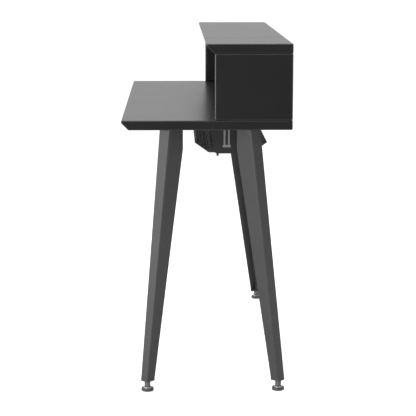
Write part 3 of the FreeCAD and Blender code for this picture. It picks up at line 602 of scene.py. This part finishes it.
def swept_rod(path: Points, radius: float, across: Colour, sides: int) -> Points:
    """Rings of a round rod with domed ends along a path.

    A ring is the path's point plus radius times cosine of one direction square to the path and sine
    of the other. Within one radius of an end the ring shrinks as the square root of 1 less the
    square of what is left to the dome's foot.

    Args:
        path: (m, 3) points of the rod's middle line, from tip to tip.
        radius: The rod's radius.
        across: A direction that is never along the path.
        sides: Points round the rod.

    Returns:
        (m + 8, sides, 3) points.
    """
    turn = np.radians(np.array([14.0, 34.0, 54.0, 74.0]))
    first, last = path[1] - path[0], path[-1] - path[-2]
    first, last = first / np.linalg.norm(first), last / np.linalg.norm(last)
    dome = (radius * (1 - np.cos(turn)))[:, None]
    starts, stops = path[0] + dome * first, path[-1] - dome[::-1] * last
    middle = path.copy()
    middle[0], middle[-1] = path[0] + radius * first, path[-1] - radius * last
    line = np.concatenate([starts, middle, stops])
    swell = np.concatenate([np.sin(turn), np.ones(len(path)), np.sin(turn[::-1])])[:, None, None] * radius
    along = np.gradient(line, axis=0)
    along /= np.linalg.norm(along, axis=1, keepdims=True)
    side = np.cross(along, np.array(across))
    side /= np.linalg.norm(side, axis=1, keepdims=True)
    other = np.cross(along, side)
    angles = circle(sides)[None, :, None]
    return line[:, None] + swell * (np.cos(angles) * side[:, None] + np.sin(angles) * other[:, None])


class Recess(Enum):
    """The driver recess in a screw's head."""

    HEX = "hexagon socket"
    CROSS = "cross"

    def outline(self, angles: Points) -> Points:
        """Radius of the recess round the axis, 1 at its widest.

        Args:
            angles: (n,) angles round the axis.

        Returns:
            (n,) radii: a hexagon's side over the cosine of the angle from its middle, or a cross
            whose arms are a fifth as wide as it is, cut off at 1.
        """
        if self is Recess.HEX:
            return math.cos(math.pi / 6) / np.cos(np.mod(angles, math.pi / 3) - math.pi / 6)
        narrow = np.minimum(np.abs(np.sin(angles)), np.abs(np.cos(angles)))
        return np.minimum(1.0, 0.22 / np.maximum(narrow, 0.05))


@dataclass(frozen=True)
class PanScrew:
    """A pan-head screw that points up: its head hangs under the seat."""

    shank: float
    length: float
    head: float
    head_height: float
    crown: float
    recess: Recess
    recess_reach: float

    def rings(self, x: float, y: float, seat: float) -> Points:
        """Rings from the middle of the recess, over the head, to the shank's tip.

        The recess's rings take its outline, and the head's are round. The head rounds over its
        crown, from 0.62 of its radius to its rim.

        Args:
            x: Place of the axis.
            y: Place of the axis.
            seat: Height of the face that the head bears on.

        Returns:
            (m, 36, 3) points.
        """
        reach, deep, tall = self.recess_reach, 0.62 * self.head_height, self.head_height
        head = self.head * np.array([0.62, 0.74, 0.85, 0.94, 0.99, 1.0, 1.0])
        drop = tall - self.crown * np.array([0.0, 0.03, 0.13, 0.32, 0.6, 1.0, tall / self.crown])
        inside = np.array([[0.45 * reach, tall - deep], [0.92 * reach, tall - deep],
                           [reach, tall - deep * 0.8], [reach, tall - 0.1 * deep], [1.06 * reach, tall]])
        outside = np.stack([head, drop], axis=1)
        tip = np.array([[self.shank, 0.0], [self.shank, -self.length + self.shank],
                        [0.3 * self.shank, -self.length]])
        profile = np.concatenate([inside, outside, tip])
        profile[:, 1] = seat - profile[:, 1]
        angles = circle(36)
        shaped = np.zeros(len(profile))
        shaped[:len(inside)] = 1.0
        outline = self.recess.outline(angles)[None, :]
        return turned(profile, angles, (x, y), 1 + shaped[:, None] * (outline - 1))


class Assembly:
    """A sub-assembly that adds pieces and dresses nodes."""

    def piece(self, name: str, shell: Shell, body: str, finish: Finish, *nodes: str) -> bpy.types.Object:
        """Adds one piece to the model.

        Args:
            name: The piece's name.
            shell: Its surfaces.
            body: The body that it moves with.
            finish: Its finish.
            nodes: The CAD nodes that it stands for.

        Returns:
            The new object.
        """
        mesh = shell.mesh(name)
        mesh.materials.append(finish.material())
        made = bpy.data.objects.new(name, mesh)
        bpy.context.scene.collection.objects.link(made)
        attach(made, body)
        if nodes:
            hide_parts(*nodes)
        log.info("piece %s on %s in %s: %d faces", name, body, finish.label.lower(), len(mesh.polygons))
        return made

    def dress(self, finish: Finish, *nodes: str) -> None:
        """Gives nodes that keep their shape a finish.

        Args:
            finish: The finish.
            nodes: Names of the nodes.
        """
        for node in nodes:
            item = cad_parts[node]
            if not item.material_slots:
                item.data.materials.append(finish.material())
            for slot in item.material_slots:
                slot.material = finish.material()
            log.info("node %s in %s", node, finish.label.lower())


# ------------------------------------------------------------ sub-assemblies


@dataclass
class Boards(Assembly):
    """The desktop and the hutch with its hidden fittings."""

    def build(self) -> None:
        """Dresses the boards, their screws and dowels, and the partition's angles."""
        self.dress(BOARD, "desktop", "hutch_top_main", "hutch_top_end", "hutch_side_left",
                   "hutch_side_right", "hutch_partition", "hutch_back")
        self.dress(BRIGHT_SCREW, "hutch_screws", "partition_angle_screws")
        self.dress(DOWEL_WOOD, "hutch_dowels")
        self.dress(ZINC, "partition_angles")


@dataclass
class FoldedLegs(Assembly):
    """Four tapered legs, each one sheet folded along its ridge, with a plate at each end."""

    ridge_x: float = RIDGE_X
    sheet: float = 2.5 * MM
    bend: float = 4.5 * MM
    edge_round: float = 0.7 * MM
    low_z: float = 31 * MM
    top_z: float = 731 * MM
    knee_drop: float = 60 * MM
    outer_top: float = 27 * MM
    outer_foot: float = 18 * MM
    inner_top: float = 36 * MM
    inner_foot: float = 20 * MM

    def section(self) -> tuple[Points, Points]:
        """The folded section in axes along its two flanges.

        The outline runs from the outer flange's cut edge along the skin, round the fold, to the inner
        flange's cut edge, and back along the lining, so that its first half faces its second.

        Returns:
            (n, 2) places for flanges of no reach, and (n, 2) shares of each flange's reach.
        """
        ease, bend, sheet = self.edge_round, self.bend, self.sheet
        lining = bend - sheet
        parts = (
            (arc((-ease, ease), ease, 0, -90, 4), (1, 0)),
            (arc((bend, bend), bend, -90, -180, 10), (0, 0)),
            (arc((ease, -ease), ease, 180, 90, 4), (0, 1)),
            (arc((sheet - ease, -ease), ease, 90, 0, 4), (0, 1)),
            (arc((bend, bend), lining, 180, 270, 10), (0, 0)),
            (arc((-ease, sheet - ease), ease, 90, 0, 4), (1, 0)),
        )
        base = np.concatenate([points for points, _ in parts])
        shares = np.concatenate([np.tile(share, (len(points), 1)) for points, share in parts]).astype(float)
        usual = base + shares * (2 * self.outer_foot)
        both = guarded(np.concatenate([base, shares], axis=1), 1.2 * MM, usual)
        return both[:, :2], both[:, 2:]

    def rings(self, side: int, way: int, ridge_foot: float, ridge_top: float) -> Points:
        """Level rings of one leg from foot to top.

        The ridge leans in a straight line. The outer flange widens in a straight line. The inner
        one widens too, down to the upright line under the desktop that trims it above the knee.

        Args:
            side: 1 on the right, -1 on the left.
            way: 1 on a front leg, -1 on a rear leg.
            ridge_foot: Y of the ridge at the foot.
            ridge_top: Y of the ridge at the top.

        Returns:
            (m, n, 3) points.
        """
        base, shares = self.section()
        knee_z = self.top_z - self.knee_drop
        z = np.union1d(np.linspace(self.low_z, self.top_z, 40), [knee_z])
        up = (z - self.low_z) / (self.top_z - self.low_z)
        ridge = ridge_foot + (ridge_top - ridge_foot) * up
        growth = abs(ridge_foot - ridge_top) + self.inner_top - self.inner_foot
        at_top = self.inner_top + growth * self.knee_drop / (knee_z - self.low_z)
        inner = self.inner_foot + (at_top - self.inner_foot) * up
        inner = np.minimum(inner, (ridge_top + way * self.inner_top - ridge) * way)
        outer = self.outer_foot + (self.outer_top - self.outer_foot) * up
        slant = math.sqrt(2)
        along_outer = base[:, 0] + shares[:, 0] * (outer * slant)[:, None]
        along_inner = base[:, 1] + shares[:, 1] * (inner * slant)[:, None]
        x = side * (self.ridge_x - (along_outer + along_inner) / slant)
        y = ridge[:, None] + way * (along_inner - along_outer) / slant
        return np.stack([x, y, np.broadcast_to(z[:, None], x.shape)], axis=-1)

    def build(self) -> None:
        """Makes the four legs and dresses their plates."""
        for corner, side in CORNERS:
            foot, top = FRONT_RIDGE if corner == "front" else REAR_RIDGE
            rings = self.rings(1 if side == "right" else -1, 1 if corner == "front" else -1, foot, top)
            node = f"leg_{corner}_{side}"
            self.piece(f"folded_{node}", Shell().stack(rings, Ends.SHEET), "desk", LEG_COAT, node)
            self.dress(LEG_COAT, f"leg_plate_{corner}_{side}", f"foot_plate_{corner}_{side}")


@dataclass
class LevellingFeet(Assembly):
    """Screw feet: a pad with a plated cup, a threaded stud with a collar, and a lock nut."""

    x: float = 536 * MM
    hex_apothem: float = 8.0 * MM
    collar: Spot = (11 * MM, 20 * MM)
    nut: Spot = (20 * MM, 26 * MM)
    stud_low: float = 5 * MM
    stud_top: float = 50 * MM
    stud_radius: float = 5.0 * MM
    thread_pitch: float = 1.25 * MM
    thread_depth: float = 0.62 * MM
    bore: float = 5.05 * MM
    cone_share: float = 0.97
    steel_sides: int = 48
    pad_sides: int = 72

    def hex_factor(self, angles: Points) -> Points:
        """A hexagon's radius round its axis over its apothem: 1 over the cosine to the next side."""
        return 1 / np.cos(np.mod(angles, math.pi / 3) - math.pi / 6)

    def chamfered_hex(self, z: Points, low: float, high: float, angles: Points) -> Points:
        """Radius of a hexagonal prism whose two ends are turned off by 30 degree cones.

        Args:
            z: (m,) heights.
            low: Lower end.
            high: Upper end.
            angles: (n,) angles round the axis.

        Returns:
            (m, n) radii: the lesser of the hexagon's and the cones', which start at cone_share apothems.
        """
        from_end = np.minimum(z - low, high - z)
        cone = self.cone_share * self.hex_apothem + from_end / math.tan(math.radians(30))
        return np.minimum(self.hex_apothem * self.hex_factor(angles)[None, :], cone[:, None])

    def prism_heights(self, low: float, high: float) -> Points:
        """Heights of a prism's rings, close together where its ends are turned off."""
        near = np.linspace(0, 0.9 * MM, 6)
        return np.concatenate([low + near, high - near[::-1]])

    def stud(self, centre: Spot) -> Shell:
        """The stud: plain foot in the pad's socket, hexagonal collar, and thread above it.

        The thread's radius is the stud's less its depth times a triangle wave of height over pitch
        less the angle's share of a turn, and it runs out at the tip's cone.

        Args:
            centre: The axis's X and Y.

        Returns:
            The stud's shell.
        """
        angles = circle(self.steel_sides)
        collar_low, collar_high = self.collar
        foot = np.array([[2.6 * MM, self.stud_low], [self.stud_radius - 0.2 * MM, self.stud_low + 0.8 * MM],
                         [self.stud_radius - 0.2 * MM, collar_low]])
        prism_z = self.prism_heights(collar_low, collar_high)
        prism = self.chamfered_hex(prism_z, collar_low, collar_high, angles)
        thread_z = np.arange(collar_high, self.stud_top, self.thread_pitch / 8)
        phase = np.mod(thread_z[:, None] / self.thread_pitch - angles[None, :] / (2 * math.pi), 1.0)
        thread = self.stud_radius - self.thread_depth * np.abs(2 * phase - 1)
        tip = self.stud_radius - 1.1 * MM + (self.stud_top - thread_z)[:, None]
        thread = np.minimum(thread, tip)
        radius = np.concatenate([np.broadcast_to(foot[:, :1], (len(foot), len(angles))), prism, thread])
        height = np.concatenate([foot[:, 1], prism_z, thread_z])
        profile = np.stack([np.ones(len(height)), height], axis=1)
        return Shell().stack(turned(profile, angles, centre, radius))

    def lock_nut(self, shell: Shell, centre: Spot) -> None:
        """Adds a lock nut: a chamfered hexagon outside and a bore inside, closed into a loop.

        Args:
            shell: The shell to add to.
            centre: The axis's X and Y.
        """
        angles = circle(self.steel_sides)
        low, high = self.nut
        z = self.prism_heights(low, high)
        outside = self.chamfered_hex(z, low, high, angles)
        bore = np.array([[self.bore + 0.5 * MM, high], [self.bore, high - 0.5 * MM],
                         [self.bore, low + 0.5 * MM], [self.bore + 0.5 * MM, low]])
        radius = np.concatenate([outside, np.broadcast_to(bore[:, :1], (4, len(angles)))])
        profile = np.stack([np.ones(len(radius)), np.concatenate([z, bore[:, 1]])], axis=1)
        shell.stack(turned(profile, angles, centre, radius), Ends.LOOP)

    def pad(self, centre: Spot) -> Shell:
        """The moulded pad: a domed rim with a groove round it, open above for the plated cup.

        Args:
            centre: The axis's X and Y.

        Returns:
            The pad's shell.
        """
        profile = np.array([
            [13.4, 0.5], [14.0, 0.0], [15.8, 0.0], [16.5, 0.25], [16.9, 0.8], [17.0, 1.5],
            [17.0, 3.2], [16.7, 3.5], [16.7, 4.1], [17.0, 4.4], [16.9, 7.0], [16.6, 7.9],
            [15.9, 8.6], [14.9, 8.9], [12.4, 9.1], [11.9, 8.8], [11.8, 5.0], [5.05, 5.0],
        ]) * MM
        return Shell().stack(turned(profile, circle(self.pad_sides), centre))

    def cup(self, centre: Spot) -> Shell:
        """The plated cup in the pad: a low drum with rounded shoulders and the stud's socket in it.

        Args:
            centre: The axis's X and Y.

        Returns:
            The cup's shell.
        """
        profile = np.array([
            [5.05, 5.1], [11.7, 5.1], [11.75, 9.2], [11.6, 9.9], [11.2, 10.5], [10.7, 10.85],
            [10.1, 11.0], [6.0, 11.0], [5.4, 10.85], [5.05, 10.5],
        ]) * MM
        return Shell().stack(turned(profile, circle(self.pad_sides), centre), Ends.LOOP)

    def build(self) -> None:
        """Makes the four feet and their lock nuts."""
        nuts = Shell()
        for corner, side in CORNERS:
            name = f"{corner}_{side}"
            y = FRONT_RIDGE[0] if corner == "front" else REAR_RIDGE[0]
            centre = (self.x if side == "right" else -self.x, y)
            self.piece(f"moulded_pad_{name}", self.pad(centre), f"pad_{name}", FOOT_PLASTIC,
                       f"foot_pad_{name}")
            self.piece(f"pad_cup_{name}", self.cup(centre), f"pad_{name}", FOOT_CUP)
            self.piece(f"threaded_stud_{name}", self.stud(centre), f"stud_{name}", FOOT_STEEL,
                       f"foot_stud_{name}")
            self.lock_nut(nuts, centre)
        self.piece("chamfered_lock_nuts", nuts, "desk", FOOT_STEEL, "lock_nuts")


@dataclass
class CableTray(Assembly):
    """The wire tray under the desktop: bent ribs, long wires welded on them, hangers and straps."""

    half_length: float = 476 * MM
    ribs: int = 28
    wire: float = 2.5 * MM
    bend: float = 9 * MM
    tips: Spot = (-31 * MM, 167 * MM)
    corners: Spot = (8 * MM, 128 * MM)
    tip_z: float = 688 * MM
    low_z: float = 660 * MM
    slope_shares: tuple[float, ...] = (0.06, 0.34, 0.62, 0.90)
    bottom_shares: tuple[float, ...] = (0.10, 0.26, 0.42, 0.58, 0.74, 0.90)

    rod_sides: int = 12
    bead_height: float = 0.9 * MM
    bead_reach: float = 1.9 * MM

    def rib_corners(self) -> Points:
        """The rib's two tips and two bends, as Y and Z."""
        return np.array([[self.tips[0], self.tip_z], [self.corners[0], self.low_z],
                         [self.corners[1], self.low_z], [self.tips[1], self.tip_z]])

    def rib_line(self) -> Points:
        """The middle line of a rib: straight runs joined by tangent arcs.

        An arc starts and ends at radius times the tangent of half the turn from its corner, and
        its points are weighted sums of the two ends and the corner.

        Returns:
            (m, 2) values of Y and Z.
        """
        tip_a, corner_a, corner_b, tip_b = self.rib_corners()
        share = np.linspace(0, 1, 8)[:, None]
        parts = [tip_a[None]]
        for before, corner, after in ((tip_a, corner_a, corner_b), (corner_a, corner_b, tip_b)):
            arrive = (corner - before) / np.linalg.norm(corner - before)
            leave = (after - corner) / np.linalg.norm(after - corner)
            half = math.acos(float(np.clip(arrive @ leave, -1, 1))) / 2
            trim = self.bend * math.tan(half)
            start, end = corner - arrive * trim, corner + leave * trim
            weight = math.cos(half)
            scale = (1 - share) ** 2 + 2 * weight * share * (1 - share) + share ** 2
            parts.append(((1 - share) ** 2 * start + 2 * weight * share * (1 - share) * corner
                          + share ** 2 * end) / scale)
        parts.append(tip_b[None])
        return np.concatenate(parts)

    def long_places(self) -> tuple[Points, Points]:
        """Where the long wires lie, and the directions from the rib's middle line to them.

        Returns:
            (n, 2) values of Y and Z, and (n, 2) unit directions.
        """
        tip_a, corner_a, corner_b, tip_b = self.rib_corners()
        places, ways = [], []
        runs = ((tip_a, corner_a, self.slope_shares), (tip_b, corner_b, self.slope_shares),
                (corner_a, corner_b, self.bottom_shares))
        for start, end, shares in runs:
            along = (end - start) / np.linalg.norm(end - start)
            inward = np.array([-along[1], along[0]])
            inward = inward if inward[1] > 0 else -inward
            places += [start + (end - start) * share + inward * 2 * self.wire for share in shares]
            ways += [inward] * len(shares)
        return np.array(places), np.array(ways)

    def rib_shell(self) -> Shell:
        """All ribs as swept rods.

        Returns:
            The ribs' shell.
        """
        shell = Shell()
        line = self.rib_line()
        for x in np.linspace(-self.half_length, self.half_length, self.ribs):
            path = np.column_stack([np.full(len(line), x), line])
            shell.stack(swept_rod(path, self.wire, (1.0, 0.0, 0.0), self.rod_sides))
        return shell

    def long_shell(self) -> Shell:
        """The long wires as straight rods, and a flat weld bead at each crossing.

        A bead is an ellipsoid: wide along the wire, narrow across it, and flat towards the rib.

        Returns:
            The shell of wires and beads.
        """
        shell = Shell()
        places, ways = self.long_places()
        reach = self.half_length + self.wire
        xs = np.linspace(-self.half_length, self.half_length, self.ribs)
        up, around = np.radians(np.array([-60.0, -25.0, 25.0, 60.0])), circle(8)
        for place, way in zip(places, ways):
            ends = np.array([[-reach, *place], [0.0, *place], [reach, *place]])
            shell.stack(swept_rod(ends, self.wire, (0.0, 0.0, 1.0), self.rod_sides))
            touch = place - way * self.wire
            beside = np.array([way[1], -way[0]])
            high = np.sin(up)[:, None] * np.ones(8) * self.bead_height
            wide = np.cos(up)[:, None] * np.cos(around) * self.bead_reach
            deep = np.cos(up)[:, None] * np.sin(around) * self.bead_reach
            for x in xs:
                flat = touch + high[..., None] * way + deep[..., None] * beside
                shell.stack(np.concatenate([(x + wide)[..., None], flat], axis=-1))
        return shell

    def build(self) -> None:
        """Makes the wires and dresses the hangers and straps."""
        self.piece("bent_ribs", self.rib_shell(), "desk", WIRE_COAT, "tray_ribs")
        self.piece("welded_long_wires", self.long_shell(), "desk", WIRE_COAT, "tray_long_wires")
        self.dress(TRAY_COAT, "tray_hanger_right", "tray_hanger_left")
        # The straps take a grey lightened as painted light against the shade under the desktop.
        self.dress(STRAP_COAT_PAINTED_LIGHT, "tray_straps")


@dataclass
class Fasteners(Assembly):
    """The screws that show under the desktop."""

    leg_screw: PanScrew = PanScrew(2.5 * MM, 20 * MM, 5 * MM, 2.6 * MM, 2.2 * MM, Recess.HEX, 2.3 * MM)
    tray_screw: PanScrew = PanScrew(2.2 * MM, 16 * MM, 4.4 * MM, 2.2 * MM, 1.9 * MM, Recess.CROSS, 2.6 * MM)
    clamp_screw: PanScrew = PanScrew(2.5 * MM, 13 * MM, 3.2 * MM, 9.0 * MM, 1.0 * MM, Recess.HEX, 1.7 * MM)
    leg_seat: float = 731 * MM
    tray_seat: float = 732 * MM
    clamp_seat: float = 655.5 * MM
    hanger_x: float = 464 * MM
    tray_ys: Spot = (34 * MM, 101 * MM)
    clamp_ys: Spot = (32 * MM, 103 * MM)
    plate_spots: tuple[Spot, ...] = ((25 * MM, 0.0), (55 * MM, -18 * MM), (55 * MM, 27 * MM))

    def leg_places(self) -> list[Spot]:
        """Each leg plate's three screws: one in the fold and two near the inboard edge.

        Returns:
            X and Y of every screw.
        """
        return [(side * (RIDGE_X - inboard), ridge + way * across)
                for side in (-1, 1) for ridge, way in ((FRONT_RIDGE[1], 1), (REAR_RIDGE[1], -1))
                for inboard, across in self.plate_spots]

    def hanger_places(self, ys: Spot) -> list[Spot]:
        """Places of the screws in both hangers, at the given values of Y."""
        return [(side * self.hanger_x, y) for side in (-1, 1) for y in ys]

    def build(self) -> None:
        """Makes the three kinds of screw."""
        kinds = (
            ("socket_leg_screws", self.leg_screw, self.leg_places(), self.leg_seat, "leg_screws"),
            ("cross_tray_screws", self.tray_screw, self.hanger_places(self.tray_ys),
             self.tray_seat, "tray_screws"),
            ("socket_clamp_screws", self.clamp_screw, self.hanger_places(self.clamp_ys),
             self.clamp_seat, "tray_clamp_screws"),
        )
        for name, screw, places, seat, node in kinds:
            shell = Shell()
            for x, y in places:
                shell.stack(screw.rings(x, y, seat))
            self.piece(name, shell, "desk", DARK_SCREW, node)


@dataclass
class Drawers(Assembly):
    """The two drawers and the fixed rails that they run on."""

    def build(self) -> None:
        """Dresses the drawers and the rails in the bay."""
        self.dress(ZINC, "cabinet_rails")
        self.dress(BRIGHT_SCREW, "cabinet_rail_screws")
        for level in ("lower", "upper"):
            self.dress(BOARD, f"drawer_{level}_front")
            boards = ("side_left", "side_right", "back", "bottom")
            self.dress(FOIL, *(f"drawer_{level}_{board}" for board in boards))
            self.dress(ZINC, f"drawer_{level}_rails")
            self.dress(BRIGHT_SCREW, f"drawer_{level}_rail_screws")


# ------------------------------------------------------------------ studio


@dataclass(frozen=True)
class Softbox:
    """A soft light. Its glow is its face's brightness, where 1 is white."""

    name: str
    place: Colour
    aim: Colour
    width: float
    height: float
    glow: float

    def hang(self) -> None:
        """Adds the light; its power is its glow times pi times its area."""
        light = bpy.data.lights.new(self.name, "AREA")
        light.shape, light.size, light.size_y = "RECTANGLE", self.width, self.height
        light.energy = self.glow * math.pi * self.width * self.height
        lamp = bpy.data.objects.new(self.name, light)
        lamp.location = self.place
        lamp.rotation_euler = (Vector(self.aim) - Vector(self.place)).to_track_quat("-Z", "Y").to_euler()
        lamp.visible_camera = False
        bpy.context.scene.collection.objects.link(lamp)


SOFTBOXES = (
    Softbox("Overhead", (0.0, 0.0, 4.0), (0.0, 0.0, 0.0), 4.0, 4.0, 2.3),
    Softbox("Front", (1.0, -4.0, 0.66), (0.0, 0.0, 0.66), 4.0, 1.2, 3.0),
    Softbox("Key", (3.4, -3.0, 0.70), (0.4, 0.0, 0.70), 2.2, 1.3, 8.0),
    Softbox("Fill", (3.0, 3.4, 0.66), (0.4, 0.0, 0.66), 3.0, 1.2, 2.2),
    Softbox("Upper", (4.4, 0.0, 2.5), (0.5, 0.0, 0.8), 2.4, 0.9, 4.0),
)


@dataclass
class Studio:
    """The pale floor, the soft lights and the camera."""

    eye: tuple[float, float, float] = (4.342, -0.0842, 1.194)
    pitch: float = 10.131
    yaw: float = 1.328
    lens: float = 123.1
    floor_half: float = 40.0
    floor_steps: int = 8
    sky_level: float = 0.43
    sky_slope_x: float = 0.38
    sky_slope_y: float = 0.08

    def floor(self) -> None:
        """A wide pale floor, white to the eye, that bounces little light at the camera's end."""
        row = self.floor_steps + 1
        grid = np.linspace(-self.floor_half, self.floor_half, row)
        x, y = np.meshgrid(grid, grid, indexing="ij")
        points = np.stack([x, y, np.zeros_like(x)], axis=-1).reshape(-1, 3)
        steps = np.arange(self.floor_steps)
        start = (steps[:, None] * row + steps).reshape(-1, 1)
        mesh = bpy.data.meshes.new("studio_floor")
        mesh.from_pydata(points.tolist(), [], (start + np.array([0, row, row + 1, 1])).tolist())
        mesh.materials.append(SWEEP.material())
        floor = bpy.data.objects.new("studio_floor", mesh)
        bpy.context.scene.collection.objects.link(floor)

    def sky(self) -> None:
        """White to the camera; as light, brighter behind the desk and dimmer at the camera's end."""
        world = bpy.data.worlds.new("Studio")
        bpy.context.scene.world = world
        world.use_nodes = True
        shader = Shader(world.node_tree)
        way = shader.add("ShaderNodeTexCoord", output="Generated")
        x = shader.add("ShaderNodeSeparateXYZ", {}, {"Vector": way}, "X")
        y = shader.add("ShaderNodeSeparateXYZ", {}, {"Vector": way}, "Y")
        level = self.sky_level - x * self.sky_slope_x - y * self.sky_slope_y
        light = shader.add("ShaderNodeBackground", {}, {"Color": (1.0, 1.0, 1.0, 1.0), "Strength": level})
        white = shader.add("ShaderNodeBackground", {}, {"Color": (1.0, 1.0, 1.0, 1.0), "Strength": 1.0})
        seen = shader.add("ShaderNodeLightPath", output="Is Camera Ray")
        both = shader.add("ShaderNodeMixShader", {}, {0: seen, 1: light, 2: white})
        shader.end("ShaderNodeOutputWorld", both)

    def camera(self) -> None:
        """The camera at the desk's right end, a little above it and looking slightly down."""
        pitch, yaw = math.radians(self.pitch), math.radians(self.yaw)
        look = Vector((-math.cos(pitch) * math.cos(yaw), math.cos(pitch) * math.sin(yaw), -math.sin(pitch)))
        camera = bpy.data.cameras.new("Camera")
        camera.lens, camera.sensor_width = self.lens, 36.0
        camera.clip_end = 100.0
        holder = bpy.data.objects.new("Camera", camera)
        holder.location = self.eye
        holder.rotation_euler = look.to_track_quat("-Z", "Y").to_euler()
        bpy.context.scene.collection.objects.link(holder)
        bpy.context.scene.camera = holder

    def build(self) -> None:
        """Sets the stage round the desk."""
        self.floor()
        self.sky()
        for box in SOFTBOXES:
            box.hang()
        self.camera()
        bpy.context.scene.view_settings.view_transform = "Standard"
        log.info("studio: floor, sky, %d softboxes and camera", len(SOFTBOXES))


def main() -> None:
    """Builds the sub-assemblies in order."""
    logging.basicConfig(level=logging.INFO, format="%(message)s")
    for part in (Boards(), FoldedLegs(), LevellingFeet(), CableTray(), Fasteners(), Drawers(), Studio()):
        log.info("building %s", type(part).__name__)
        part.build()


if __name__ == "__main__":
    main()
